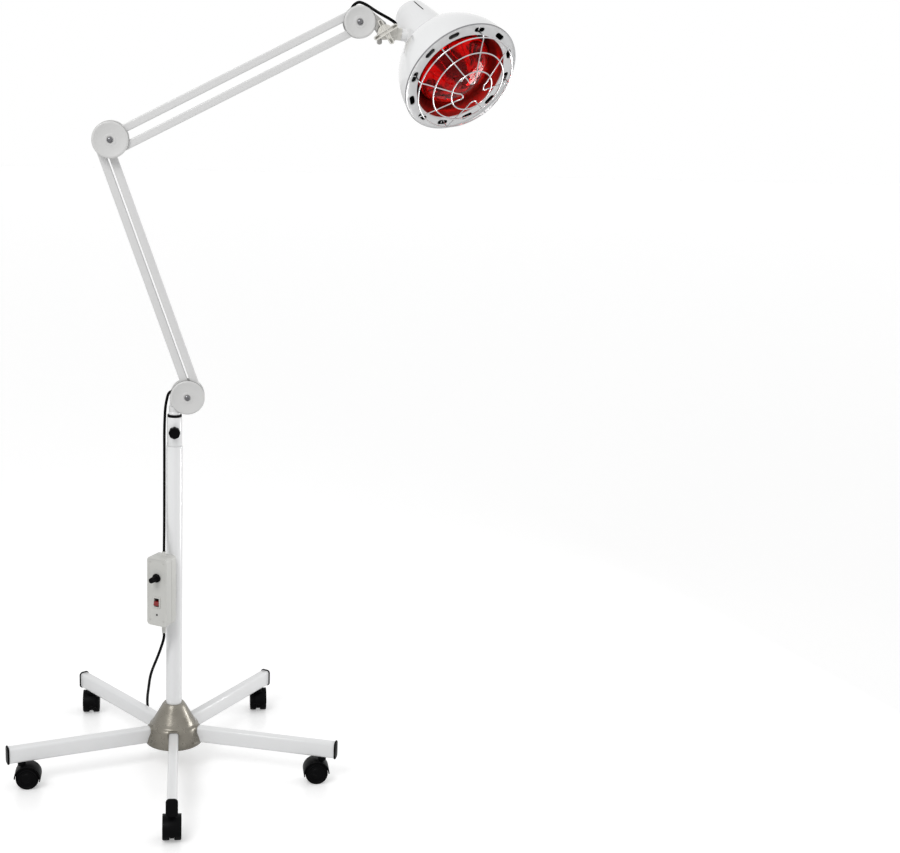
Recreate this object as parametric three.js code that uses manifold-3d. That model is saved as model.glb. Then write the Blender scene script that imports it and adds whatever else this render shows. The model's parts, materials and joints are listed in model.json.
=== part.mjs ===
// An infrared heat therapy lamp on a five-legged rolling stand, in millimetres, +Z up.
// X runs to the right of the photographed view, and Y away from the viewer.
import * as THREE from 'three';
import { mergeVertices } from 'three/addons/utils/BufferGeometryUtils.js';
import Module from 'manifold-3d';

const wasm = await Module();
wasm.setup();

// Clearances
const GAP = 0.3; // between two pieces that touch
const OVERCUT = 1; // how far a cutting tool runs past the face that it cuts
const WELD = 0.5; // how deep two shapes of one casting run into each other

// Base
const LEG_COUNT = 5;
const FRONT_LEG_ANGLE = -90;
const LEG_REACH = 302;
const LEG_INNER_END = 24;
const LEG_HEIGHT = 29;
const LEG_WIDTH = 17;
const LEG_CORNER = 4;
const LEG_WALL = 1.5;
const LEG_CAP_THICKNESS = 3;
const LEG_CAP_LIP = 1.6;
const LEG_CAP_PLUG = 9;
const LEG_BOTTOM = 48;
const WHEEL_RADIUS = 20;
const WHEEL_WIDTH = 12;
const WHEEL_CHAMFER = 2;
const WHEEL_SIDES = 12;
const AXLE_RADIUS = 3;
const CASTER_WEB = 7.4;
const HOOD_WALL = 2.2;
const HOOD_GAP = 0.8;
const HOOD_START = 5;
const HOOD_END = 195;
const CASTER_CHEEK = 7;
const CASTER_WASHER_RADIUS = 7;
const CASTER_STEM_RADIUS = 4;
const CASTER_STEM_LENGTH = 20;
const CASTER_STEM_INSET = 26;
const CASTER_TRAIL = 10;
const CASTER_TURNS = [180, 18, -144, 144, -18]; // how each stands in the photographed view
const HUB_FLOOR = 3.7;
const HUB_FOOT_RADIUS = 43;
const HUB_SKIRT_RADIUS = 49;
const HUB_SKIRT_LOW = 3;
const HUB_SKIRT_HIGH = 9;
const HUB_SKIRT_DRAFT = 1;
const HUB_WAIST_RADIUS = 41.5;
const HUB_SHOULDER_RADIUS = 38;
const HUB_TOP_RADIUS = 16.5;
const HUB_HEIGHT = 74;
const HUB_WAIST_AT = 28;
const HUB_SHOULDER_AT = 38;
const HUB_BEVEL = 4.5;
const HUB_BEVEL_RISE = 7;
const HUB_NECK_DROP = 5;
const HUB_SEAT = 2;
const HUB_SIDES = 25;

// Pole
const POLE_SIDES = 20;
const POLE_RADIUS = 14;
const POLE_WALL = 1.6;
const POLE_TOP = 594;
const SOCKET_RADIUS = 13;
const SOCKET_HEIGHT = 51;
const SOCKET_PLUG = 34;
const COLLAR_RADIUS = 12.5;
const COLLAR_HEIGHT = 3.7;
const SPIGOT_RADIUS = 7;
const SPIGOT_LENGTH = 48;
const SPIGOT_SIDES = 16;
const CLAMP_HEIGHT_IN_SOCKET = 27;
const CLAMP_KNOB_RADIUS = 10;
const CLAMP_KNOB_DEPTH = 12;
const CLAMP_SCREW_RADIUS = 3;
const CLAMP_LOBES = 8;
const CLAMP_LOBE_DEPTH = 0.7;
const CLAMP_LOBE_STEPS = 3;
const SCREW_SIDES = 10;

// Spring arms: two bars each, as parallelograms
const BAR_PIN_TO_PIN = 431;
const BAR_WIDTH = 13.2;
const BAR_DEPTH = 12;
const BAR_EDGE = 2.2;
const BAR_WALL = 1.3;
const BAR_END_SOLID = 13;
const LEAD_SLOT_SETBACK = 2;
const LEAD_SLOT_LENGTH = 20;
const LEAD_SLOT_WIDTH = 5;
const PIN_RADIUS = 3;
const PIN_SIDES = 8;
const SPRING_RADIUS = 4.4;
const SPRING_WIRE = 1;
const SPRING_LENGTH = 210;
const PLATE = 3;
const LOWER_ARM_ANGLE = 109.7;
const UPPER_ARM_ANGLE = 27.6;
const SHOULDER_OFFSET = 21.8;
const SHOULDER_RISE = 31.3;
const SHOULDER_PIN = [-3.6, 20.7];
const LOWER_PIN_PAIR = [23.6, -17.4];
const ELBOW_LOWER_PIN = [-21.4, -7.0];
const ELBOW_UPPER_PIN = [12.4, 12.9];
const UPPER_PIN_PAIR = [0, -29.7];
const WRIST_PIN = [-10.4, 14.1];
const SHOULDER_COVER_RADIUS = 29.7;
const ELBOW_COVER_RADIUS = 30.3;
const WRIST_COVER_RADIUS = 26.4;
const COVER_SIDES = 18;
const COVER_THICKNESS = 6;
const COVER_ROUNDING = 1.8;
const PLATE_INSET = 3;
const BOLT_RADIUS = 3;
const BOLT_SIDES = 8;
const BOLT_HOLE_SIDES = 12;
const BOLT_HOLE_REACH = 40; // longer than any joint is deep
const BOLT_BOSS_RADIUS = 6;
const BOLT_BOSS_SIDES = 14;
const BOLT_HEAD_RADIUS = 5;
const BOLT_HEAD_HEIGHT = 2.6;
const BOLT_CROWN_RADIUS = 3.1;
const BOLT_CROWN_HEIGHT = 2.1;
const FOOT_RADIUS = 10;
const FOOT_HEIGHT = 14.6;
const SHOULDER_NECK_RADIUS = 8;
const TONGUE_LEFT = [-30.5, -4];
const TONGUE_LOW_LEFT = -20;
const TONGUE_LOW_RIGHT = [-11, -28.5];

// Tilt joint and head swivel
const KNUCKLE_OFFSET = [42.1, -14.8];
const LUG_RADIUS = 12.5;
const LUG_THICKNESS = 12.3;
const LUG_SIDES = 20;
const LUG_RUNNING_GAP = 1.2;
const SNOUT_TOP = [12, 22.8];
const SNOUT_BOTTOM = -26;
const LOCK_STUD = [-7.7, -16.5];
const LOCK_STUD_RADIUS = 3.6;
const LOCK_STUD_PROUD = 3;
const LOCK_STUD_SIDES = 10;
const CROSS_SPAN = 44;
const CROSS_ARM_WIDTH = 7.4;
const CROSS_THICKNESS = 10;
const CROSS_WEB_RADIUS = 13;
const CROSS_WEB_SINK = 2;
const CROSS_WEB_BACK = 1;
const CROSS_WEB_SIDES = 16;
const CROSS_SCREW_RADIUS = 4;
const CROSS_SCREW_SIDES = 12;
const CROSS_SCREW_SHORT = 2;
const CROSS_TURN = 33;
const STEM_ANGLE = -6;
const STEM_RADIUS = 5;
const STEM_SIDES = 12;
const STEM_BORE = 3;
const STEM_BORE_SIDES = 8;
const STEM_BORE_FLOOR = 1;
const STEM_REACH = 44;
const NECK_BLOCK = 15;
const NECK_BLOCK_HALF = 9;
const COUPLING_START = 15;
const COUPLING_RADIUS = 12;
const COUPLING_LENGTH = 4;
const COUPLING_SIDES = 18;
const NUT_ACROSS_FLATS = 20;
const NUT_LENGTH = 8;

// Head, measured back along its own axis from the front face of the rim
const HEAD_ATTACH_DEPTH = 126.5;
const HEAD_ATTACH_RADIUS = 36.5;
const HEAD_ATTACH_REACH = 34.8;
const HEAD_BOSS_RADIUS = 10.5;
const HEAD_BOSS_SIDES = 14;
const HEAD_BOSS_BORE_SIDES = 10;
const BOSS_SINK = 7;
const HEAD_AXIS_TO_STEM = 64.7;
const HEAD_SWIVEL = 55.9;
const SHADE_WALL = 2;
const RIM_RADIUS = 100;
const RIM_ROLL = 3;
const RING_THICKNESS = 1.5;
const MOUTH_RADIUS = 78;
const MOUTH_LIP_WIDTH = 2.5;
const MOUTH_LIP_DEPTH = 3;
const BODY_EDGE_INSET = 1.5;
const BODY_END_RADIUS = 75;
const BODY_DEPTH = 70;
const BODY_STEPS = 4;
const BODY_KNEE_RADIUS = 69;
const BODY_KNEE_DEPTH = 75;
const BODY_TOP_RADIUS = 59;
const BODY_TOP_DEPTH = 78.5;
const KNEE_WALL_SHARE = 0.7;
const TOP_WALL_SHARE = 0.4;
const NECK_START_RADIUS = 46;
const NECK_START_DEPTH = 80;
const NECK_FILLET_RADIUS = 2;
const NECK_FILLET_DRAFT = 0.5;
const NECK_FILLET_DEPTH = 3;
const NECK_END_RADIUS = 29.5;
const HEAD_DEPTH = 192;
const DOME_HEIGHT = 19;
const DOME_STEPS = 3;
const REFLECTOR_WAIST_RADIUS = 68;
const REFLECTOR_WAIST_DEPTH = 36.3;
const REFLECTOR_DEPTH = 66;
const REFLECTOR_END_RADIUS = 50;
const RIM_SLOT_COUNT = 12;
const RIM_SLOT_LENGTH = 19;
const RIM_SLOT_WIDTH = 8.5;
const RIM_SLOT_CIRCLE = 88;
const RIM_SLOT_TURN = 21.5;
const NECK_SLOT_COUNT = 3;
const NECK_SLOT_LENGTH = 34;
const NECK_SLOT_WIDTH = 2.2;
const NECK_SLOT_TURN = 275;
const NECK_SLOT_DEPTH = 141;
const HOLDER_POST_RADIUS = 12;
const HOLDER_RADIUS = 21;
const HOLDER_SETBACK = 17.7;
const HOLDER_WALL_BEHIND = 8;
const HOLDER_CHAMFER = 4;
const HOLDER_CHAMFER_DEPTH = 6;
const HOLDER_MOUTH_RADIUS = 19;
const HOLDER_MOUTH_DEPTH = 4;
const POST_FILLET = 1;
const BULB_RADIUS = 63;
const BULB_WIDEST_DEPTH = 24;
const BULB_APEX = 5;
const BULB_DOME_STEPS = 4;
const BULB_SHOULDER_RADIUS = 54.2;
const BULB_SHOULDER_DEPTH = 54.3;
const BULB_CONE_RADIUS = 37.8;
const BULB_CONE_DEPTH = 85;
const BULB_NECK_RADIUS = 20;
const BULB_NECK_DEPTH = 118;
const BULB_NECK_DRAFT = 2;
const BULB_NECK_TAPER = 10;
const BULB_CAP_TAPER = 14;
const BULB_BASE_RADIUS = 13.2;
const BULB_BASE_CHAMFER = 3;
const BULB_BASE_CHAMFER_DEPTH = 4;
const BULB_WALL = 1.6;
const BULB_INNER_DOME_RADIUS = 44;
const BULB_INNER_DOME_DEPTH = 9.6;
const BULB_INNER_STEP = 4;
const BULB_SIDES = 18;
const HEAD_SIDES = 24;
const RING_SIDES = 28;

// Wire guard
const WIRE_RADIUS = 1.1;
const GUARD_RING_RADII = [85, 63, 36];
const GUARD_RING_STEPS = [27, 27, 18];
const GUARD_RING_LIFT = 1.65;
const GUARD_OUTER_HEIGHT = 15;
const GUARD_SLOPE = 0.41;
const GUARD_PIN_COUNT = 4;
const GUARD_PIN_SPREAD = 48;
const GUARD_TURN_RADIUS = 6.5;
const GUARD_TURN_CENTRE = 32;
const GUARD_TURN_STEPS = 4;
const GUARD_RUN_STEPS = 3;
const GUARD_PIN_REACH = 1;
const GUARD_PIN_STEPS = 19;
const GUARD_TAIL = 5;
const HOOK_TAIL = 2.5;
const HOOK_HEIGHT = 4;
const WIRE_SIDES = 4;

// Dimmer box
const BOX_WIDTH = 40;
const BOX_DEPTH = 32;
const BOX_HEIGHT = 124;
const BOX_BOTTOM = 281;
const BOX_YAW = 32;
const BOX_STANDOFF = 40;
const BOX_WALL = 2;
const BOX_CORNER = 6;
const BOX_EDGE = 1.8;
const SADDLE_WALL = 2.8;
const SADDLE_HEIGHT = 44;
const SADDLE_OPEN = 12; // it ends this far short of the pole's axis
const SADDLE_WEB_HALF = 9;
const SADDLE_WEB_SHORT = 1;
const DIMMER_HEIGHT = 88;
const DIMMER_SKIRT_RADIUS = 7.8;
const DIMMER_SKIRT_HEIGHT = 4;
const DIMMER_GRIP_RADIUS = 5.6;
const DIMMER_GRIP_TOP_RADIUS = 4.8;
const DIMMER_LENGTH = 19;
const DIMMER_SHAFT_RADIUS = 3;
const DIMMER_SHAFT_LENGTH = 9;
const DIMMER_TIP_CHAMFER = 1;
const DIMMER_SKIRT_SLOPE = 1.4;
const DIMMER_SIDES = 12;
const ROCKER_HEIGHT = 43;
const ROCKER_WIDTH = 9.6;
const ROCKER_LENGTH = 15;
const ROCKER_ANGLE = 6;
const ROCKER_FACE_SHORT = 0.6;
const ROCKER_FOOT_SHORT = 2;
const ROCKER_FOOT_DEPTH = 1.4;
const ROCKER_DEPTH = 5;
const ROCKER_PROUD = 0.6;
const BEZEL_RIM = 2.2;
const BEZEL_HEIGHT = 1.2;
const LIGHT_HEIGHT = 20;
const LIGHT_RADIUS = 1.6;
const LIGHT_PROUD = 0.8;
const LIGHT_SIDES = 8;
const RELIEF_RADIUS = 4.6;
const RELIEF_TIP_RADIUS = 3.6;
const RELIEF_LENGTH = 20;
const RELIEF_TOP_LENGTH = 6;
const RELIEF_BACK = 7;
const RELIEF_SIDES = 10;

// Cords
const CORD_RADIUS = 2.5;
const CORD_SIDES = 8;
const CORD_STANDOFF = 1;
const SHOULDER_LEAD_STEPS = 22;
const HEAD_LEAD_STEPS = 18;
const MAINS_STEPS = 29;
const COIL_CENTRE = [0, 172];
const COIL_OUTER_RADIUS = 35;
const COIL_PITCH = 5.7;
const COIL_LAYER_TURNS = 3;
const COIL_STEPS = 24;
const COIL_SIDES = 6;
const COIL_START_ANGLE = 180;
const COIL_LIFT = 0.3;
const COIL_LEAD_IN = 1;
const COIL_TAIL_OUT = 22;
const COIL_TAIL_IN = 20;
const COIL_TAIL_END = 4;
const COIL_TAIL_STEPS = 9;
const PLUG_X = -6;
const PLUG_Y = 224;
const PLUG_WIDTH = 22;
const PLUG_THICKNESS = 15;
const PLUG_LENGTH = 30;
const PLUG_CORNER = 4;
const PLUG_TAIL = 11;
const PLUG_TAIL_RADIUS = 4.4;
const BLADE_SPACING = 12.7;
const BLADE_WIDTH = 6.3;
const BLADE_THICKNESS = 1.5;
const BLADE_LENGTH = 17;

// Worked out from the sizes above
const LEG_CENTRE = LEG_BOTTOM + LEG_HEIGHT / 2;
const HUB_BOTTOM = LEG_BOTTOM - GAP - HUB_FLOOR;
const HUB_TOP = HUB_BOTTOM + HUB_HEIGHT;
const POLE_FOOT = HUB_BOTTOM + HUB_FLOOR + HUB_SEAT;
const SOCKET_TOP = POLE_TOP + GAP + SOCKET_HEIGHT;
const CLAMP_Z = POLE_TOP + CLAMP_HEIGHT_IN_SOCKET;
const COLLAR_TOP = SOCKET_TOP + GAP + COLLAR_HEIGHT;
const LAYER_STEP = BAR_DEPTH + PLATE + 2 * GAP;
const PIN_HOLE = PIN_RADIUS + GAP;
const BOLT_HOLE = BOLT_RADIUS + GAP;
const NECK_END_DEPTH = HEAD_DEPTH - DOME_HEIGHT;
const HOLDER_BACK = HEAD_DEPTH - HOLDER_WALL_BEHIND - SHADE_WALL - GAP;
const BULB_BACK = HOLDER_BACK - HOLDER_WALL_BEHIND - GAP;
const GUARD_FIRST_HOOK = RIM_SLOT_TURN - 360 / RIM_SLOT_COUNT;

const radians = THREE.MathUtils.degToRad;
const cosine = (angle) => Math.cos(radians(angle));
const sine = (angle) => Math.sin(radians(angle));

// Shapes and solids

function solid(geometry) {
  const plain = geometry.clone();
  plain.deleteAttribute('normal');
  plain.deleteAttribute('uv');
  const merged = mergeVertices(plain, 1e-4);
  return new wasm.Manifold(new wasm.Mesh({
    numProp: 3,
    vertProperties: new Float32Array(merged.attributes.position.array),
    triVerts: new Uint32Array(merged.index.array),
  }));
}

function geometryOf(body) {
  const mesh = body.getMesh();
  const geometry = new THREE.BufferGeometry();
  geometry.setAttribute('position', new THREE.BufferAttribute(mesh.vertProperties, 3));
  geometry.setIndex(new THREE.BufferAttribute(mesh.triVerts, 1));
  return geometry;
}

function join(first, ...others) {
  return others.reduce((sum, other) => sum.add(solid(other)), solid(first));
}

function cut(body, ...tools) {
  return tools.reduce((rest, tool) => rest.subtract(solid(tool)), body);
}

function block(low, high) {
  const size = high.map((value, axis) => value - low[axis]);
  const centre = high.map((value, axis) => (value + low[axis]) / 2);
  return new THREE.BoxGeometry(...size).translate(...centre);
}

// A round rod along an axis, from one place on it to another.
function rod(axis, radius, from, to, at = [0, 0, 0], sides = 20, endRadius = radius) {
  const geometry = new THREE.CylinderGeometry(endRadius, radius, to - from, sides);
  geometry.translate(0, (from + to) / 2, 0);
  if (axis === 'x') geometry.rotateZ(-Math.PI / 2);
  if (axis === 'z') geometry.rotateX(Math.PI / 2);
  return geometry.translate(...at);
}

// A turned piece about Z: each point is [radius, height], listed from the bottom up.
function turned(points, sides = HEAD_SIDES) {
  const profile = points.map(([radius, height]) => new THREE.Vector2(radius, height));
  return new THREE.LatheGeometry(profile, sides).rotateX(Math.PI / 2);
}

// A turned piece about Y, its points listed towards +Y.
function turnedAlongY(points, sides) {
  const profile = points.map(([radius, along]) => new THREE.Vector2(radius, along));
  return new THREE.LatheGeometry(profile, sides);
}

function closedLoop(points) {
  return [...points, points[0]];
}

function roundedRectangle(width, height, corner) {
  const shape = new THREE.Shape();
  const x = width / 2;
  const y = height / 2;
  shape.moveTo(x, -y + corner);
  shape.lineTo(x, y - corner);
  shape.absarc(x - corner, y - corner, corner, 0, Math.PI / 2);
  shape.absarc(-x + corner, y - corner, corner, Math.PI / 2, Math.PI);
  shape.absarc(-x + corner, -y + corner, corner, Math.PI, 1.5 * Math.PI);
  shape.absarc(x - corner, -y + corner, corner, 1.5 * Math.PI, 2 * Math.PI);
  return shape;
}

// A slot outline with round ends, as long as it says from centre to centre.
function stadium(length, radius) {
  const shape = new THREE.Shape();
  shape.absarc(length, 0, radius, -Math.PI / 2, Math.PI / 2);
  shape.absarc(0, 0, radius, Math.PI / 2, 1.5 * Math.PI);
  shape.closePath();
  return shape;
}

function extrude(shape, depth, curveSegments = 3) {
  return new THREE.ExtrudeGeometry(shape, { depth, bevelEnabled: false, curveSegments });
}

// An outline in X and Z, extruded along Y between two places.
function slab(shape, fromY, toY, curveSegments = 6) {
  return extrude(shape, toY - fromY, curveSegments).rotateX(Math.PI / 2).translate(0, toY, 0);
}

// An outline in Y and Z, extruded along X between two places.
function beam(shape, fromX, toX, curveSegments = 3) {
  const geometry = extrude(shape, toX - fromX, curveSegments);
  return geometry.rotateX(Math.PI / 2).rotateZ(Math.PI / 2).translate(fromX, 0, 0);
}

function alongPath(points, radius, sides, steps) {
  const curve = new THREE.CatmullRomCurve3(points.map((point) => new THREE.Vector3(...point)));
  const section = new THREE.Shape();
  for (let side = 0; side < sides; side += 1) {
    const angle = (2 * Math.PI * side) / sides;
    if (side === 0) section.moveTo(radius, 0);
    else section.lineTo(radius * Math.cos(angle), radius * Math.sin(angle));
  }
  return new THREE.ExtrudeGeometry(section, { steps, extrudePath: curve });
}

// A tube through given places, each with its own upright section, ends closed.
function windTube(centres, radius, sides) {
  const count = centres.length;
  const positions = [];
  const indices = [];
  const up = new THREE.Vector3(0, 0, 1);
  centres.forEach((centre, place) => {
    const before = centres[Math.max(place - 1, 0)];
    const after = centres[Math.min(place + 1, count - 1)];
    const along = after.clone().sub(before).normalize();
    const side = along.clone().cross(up).normalize();
    const over = side.clone().cross(along);
    for (let step = 0; step < sides; step += 1) {
      const angle = (2 * Math.PI * (step + 0.5)) / sides;
      const out = side.clone().multiplyScalar(Math.cos(angle) * radius);
      out.addScaledVector(over, Math.sin(angle) * radius).add(centre);
      positions.push(out.x, out.y, out.z);
    }
  });
  const start = positions.length / 3;
  const first = centres[0];
  const last = centres[count - 1];
  positions.push(first.x, first.y, first.z, last.x, last.y, last.z);
  for (let place = 0; place < count - 1; place += 1) {
    for (let step = 0; step < sides; step += 1) {
      const next = (step + 1) % sides;
      const a = place * sides + step;
      const b = place * sides + next;
      indices.push(a, a + sides, b, b, a + sides, b + sides);
    }
  }
  for (let step = 0; step < sides; step += 1) {
    const next = (step + 1) % sides;
    const end = (count - 1) * sides;
    indices.push(start, step, next, start + 1, end + next, end + step);
  }
  const geometry = new THREE.BufferGeometry();
  geometry.setAttribute('position', new THREE.Float32BufferAttribute(positions, 3));
  geometry.setIndex(indices);
  return geometry;
}

// Groups and meshes

const lamp = new THREE.Group();

function group(parent, x = 0, y = 0, z = 0) {
  const place = new THREE.Group();
  place.position.set(x, y, z);
  parent.add(place);
  return place;
}

function piece(parent, name, body, [color, roughness, metalness]) {
  const geometry = body.isBufferGeometry ? body : geometryOf(body);
  const material = new THREE.MeshStandardMaterial({ color, roughness, metalness });
  const mesh = new THREE.Mesh(geometry, material);
  mesh.name = name;
  parent.add(mesh);
  return mesh;
}

const WHITE_ENAMEL = [0xf2f2f0, 0.3, 0.1];
const WHITE_PLASTIC = [0xe6e5e0, 0.45, 0];
const ARM_GREY = [0xdcdcda, 0.4, 0.1];
const HUB_GREY = [0x8a867c, 0.45, 0.2];
const BLACK_PLASTIC = [0x151515, 0.5, 0];
const CHROME = [0xc8c8c8, 0.15, 1];
const STEEL = [0x9a9a9a, 0.35, 0.9];
const RUBY_GLASS = [0xb01010, 0.1, 0];
const CERAMIC = [0xf0ece2, 0.6, 0];
const ROCKER_RED = [0xa01818, 0.4, 0];
const BOX_GREY = [0xc9c9c4, 0.5, 0];
const CORD_BLACK = [0x101010, 0.6, 0];

// Base: hub, legs, caps and casters

function legSection(margin) {
  return roundedRectangle(LEG_WIDTH + 2 * margin, LEG_HEIGHT + 2 * margin, LEG_CORNER + margin);
}

function legAngle(index) {
  return FRONT_LEG_ANGLE + (360 / LEG_COUNT) * index;
}

function hubBody() {
  const outline = [
    [0, HUB_BOTTOM],
    [HUB_FOOT_RADIUS, HUB_BOTTOM],
    [HUB_SKIRT_RADIUS, HUB_BOTTOM + HUB_SKIRT_LOW],
    [HUB_SKIRT_RADIUS - HUB_SKIRT_DRAFT, HUB_BOTTOM + HUB_SKIRT_HIGH],
    [HUB_WAIST_RADIUS, HUB_BOTTOM + HUB_WAIST_AT],
    [HUB_SHOULDER_RADIUS, HUB_BOTTOM + HUB_SHOULDER_AT],
    [HUB_SHOULDER_RADIUS - HUB_BEVEL, HUB_BOTTOM + HUB_SHOULDER_AT + HUB_BEVEL_RISE],
    [HUB_TOP_RADIUS + HUB_BEVEL, HUB_TOP - HUB_NECK_DROP],
    [HUB_TOP_RADIUS, HUB_TOP],
    [0, HUB_TOP],
  ];
  let body = solid(turned(outline, HUB_SIDES));
  for (let index = 0; index < LEG_COUNT; index += 1) {
    const tunnel = beam(legSection(GAP), LEG_INNER_END - GAP, HUB_SKIRT_RADIUS + OVERCUT, 1);
    tunnel.translate(0, 0, LEG_CENTRE).rotateZ(radians(legAngle(index)));
    body = cut(body, tunnel);
  }
  const room = rod('z', POLE_RADIUS + GAP, POLE_FOOT - GAP, HUB_TOP + OVERCUT, [0, 0, 0], POLE_SIDES);
  return cut(body, room);
}

function legBody() {
  const tubeEnd = LEG_REACH - LEG_CAP_THICKNESS - GAP;
  const stemAt = LEG_REACH - CASTER_STEM_INSET;
  const plugEnd = tubeEnd - LEG_CAP_PLUG - 2 * GAP;
  const inside = legSection(-LEG_WALL);
  const hollow = beam(inside, LEG_INNER_END - OVERCUT, stemAt - 2 * CASTER_STEM_RADIUS, 1);
  const mouth = beam(inside, plugEnd, tubeEnd + OVERCUT, 1);
  const boreTop = LEG_BOTTOM + CASTER_STEM_LENGTH;
  const low = LEG_BOTTOM - OVERCUT;
  const room = CASTER_STEM_RADIUS + 2 * GAP;
  const bore = rod('z', room, low, boreTop, [stemAt, 0, 0], PIN_SIDES);
  hollow.translate(0, 0, LEG_CENTRE);
  mouth.translate(0, 0, LEG_CENTRE);
  const tube = beam(legSection(0), LEG_INNER_END, tubeEnd, 1).translate(0, 0, LEG_CENTRE);
  return cut(solid(tube), hollow, mouth, bore);
}

function legCapBody() {
  const plateStart = LEG_REACH - LEG_CAP_THICKNESS;
  const plate = beam(legSection(LEG_CAP_LIP), plateStart, LEG_REACH, 1);
  const plug = beam(legSection(-LEG_WALL - GAP), plateStart - LEG_CAP_PLUG - GAP, plateStart + WELD, 1);
  return join(plate.translate(0, 0, LEG_CENTRE), plug.translate(0, 0, LEG_CENTRE));
}

// The housing's own X points from the wheels to the stem, which they trail behind.
function casterHousingBody() {
  const hoodInner = WHEEL_RADIUS + HOOD_GAP;
  const hoodOuter = hoodInner + HOOD_WALL;
  const halfWidth = CASTER_WEB / 2 + WHEEL_WIDTH;
  const hood = new THREE.Shape();
  hood.absarc(0, 0, hoodOuter, radians(HOOD_START), radians(HOOD_END));
  hood.absarc(0, 0, hoodInner, radians(HOOD_END), radians(HOOD_START), true);
  hood.closePath();
  const web = new THREE.Shape();
  web.absarc(0, 0, hoodInner + WELD, radians(HOOD_START), radians(HOOD_END));
  web.lineTo(-CASTER_CHEEK, -CASTER_CHEEK);
  web.lineTo(CASTER_CHEEK, -CASTER_CHEEK);
  web.closePath();
  const webHalf = CASTER_WEB / 2 - GAP;
  const seat = LEG_BOTTOM - WHEEL_RADIUS;
  const stemTop = seat + CASTER_STEM_LENGTH - GAP;
  const at = [CASTER_TRAIL, 0, 0];
  const body = join(
    slab(hood, -halfWidth, halfWidth, 5),
    slab(web, -webHalf, webHalf, 4),
    rod('z', CASTER_STEM_RADIUS, WHEEL_RADIUS, stemTop, at, PIN_SIDES),
    rod('z', CASTER_WASHER_RADIUS, hoodInner, seat - GAP, at, PIN_SIDES),
  );
  const axle = rod('y', AXLE_RADIUS + GAP, -webHalf - OVERCUT, webHalf + OVERCUT, [0, 0, 0], PIN_SIDES);
  return cut(body, axle);
}

function casterWheelsBody() {
  const inner = CASTER_WEB / 2;
  const outer = inner + WHEEL_WIDTH;
  const half = [
    [AXLE_RADIUS, inner],
    [WHEEL_RADIUS, inner],
    [WHEEL_RADIUS, outer - WHEEL_CHAMFER],
    [WHEEL_RADIUS - WHEEL_CHAMFER, outer],
    [0, outer],
  ];
  const mirrored = half.map(([radius, along]) => [radius, -along]).reverse();
  return turnedAlongY([...mirrored, ...half], WHEEL_SIDES);
}

function addBase() {
  piece(lamp, 'base_hub', hubBody(), HUB_GREY);
  for (let index = 0; index < LEG_COUNT; index += 1) {
    const number = index + 1;
    const leg = group(lamp);
    leg.rotation.z = radians(legAngle(index));
    piece(leg, `leg_${number}`, legBody(), WHITE_ENAMEL);
    piece(leg, `leg_cap_${number}`, legCapBody(), BLACK_PLASTIC);
    const swivel = group(leg, LEG_REACH - CASTER_STEM_INSET, 0, WHEEL_RADIUS);
    swivel.rotation.z = radians(CASTER_TURNS[index]);
    const caster = group(swivel, -CASTER_TRAIL);
    piece(caster, `caster_housing_${number}`, casterHousingBody(), BLACK_PLASTIC);
    piece(caster, `caster_wheels_${number}`, casterWheelsBody(), BLACK_PLASTIC);
  }
}

// Pole, socket, collar and clamp knob

function addPole() {
  const inner = POLE_RADIUS - POLE_WALL;
  const tube = turned(closedLoop([[inner, POLE_FOOT], [POLE_RADIUS, POLE_FOOT],
    [POLE_RADIUS, POLE_TOP], [inner, POLE_TOP]]), POLE_SIDES);
  piece(lamp, 'pole_tube', tube, WHITE_ENAMEL);

  const socketFoot = POLE_TOP + GAP;
  const floor = SOCKET_TOP - SPIGOT_LENGTH - 2 * GAP;
  const socket = solid(turned([
    [0, socketFoot - SOCKET_PLUG],
    [inner - GAP, socketFoot - SOCKET_PLUG],
    [inner - GAP, socketFoot],
    [SOCKET_RADIUS, socketFoot],
    [SOCKET_RADIUS, SOCKET_TOP],
    [SPIGOT_RADIUS + GAP, SOCKET_TOP],
    [SPIGOT_RADIUS + GAP, floor],
    [0, floor],
  ], POLE_SIDES));
  const screwAt = [0, 0, CLAMP_Z];
  const screwHole = rod('y', CLAMP_SCREW_RADIUS + GAP, -SOCKET_RADIUS - OVERCUT, 0, screwAt, SCREW_SIDES);
  piece(lamp, 'pole_socket', cut(socket, screwHole), WHITE_ENAMEL);

  const collar = turned(closedLoop([
    [SPIGOT_RADIUS + GAP, SOCKET_TOP + GAP],
    [COLLAR_RADIUS, SOCKET_TOP + GAP],
    [COLLAR_RADIUS, COLLAR_TOP],
    [SPIGOT_RADIUS + GAP, COLLAR_TOP],
  ]), POLE_SIDES);
  piece(lamp, 'pole_collar', collar, BLACK_PLASTIC);

  const outline = new THREE.Shape();
  const steps = CLAMP_LOBES * CLAMP_LOBE_STEPS;
  for (let step = 0; step < steps; step += 1) {
    const angle = (2 * Math.PI * step) / steps;
    const dip = (1 - Math.cos(angle * CLAMP_LOBES)) / 2;
    const radius = CLAMP_KNOB_RADIUS - CLAMP_LOBE_DEPTH * dip;
    if (step === 0) outline.moveTo(radius, 0);
    else outline.lineTo(radius * Math.cos(angle), radius * Math.sin(angle));
  }
  const face = -SOCKET_RADIUS - GAP;
  const knob = slab(outline, face - CLAMP_KNOB_DEPTH, face);
  const tip = -SPIGOT_RADIUS - GAP;
  const screw = rod('y', CLAMP_SCREW_RADIUS, face - WELD, tip, [0, 0, 0], SCREW_SIDES);
  piece(group(lamp, 0, 0, CLAMP_Z), 'clamp_knob', join(knob, screw), BLACK_PLASTIC);
}

// Arm pieces shared by the three round joints

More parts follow.
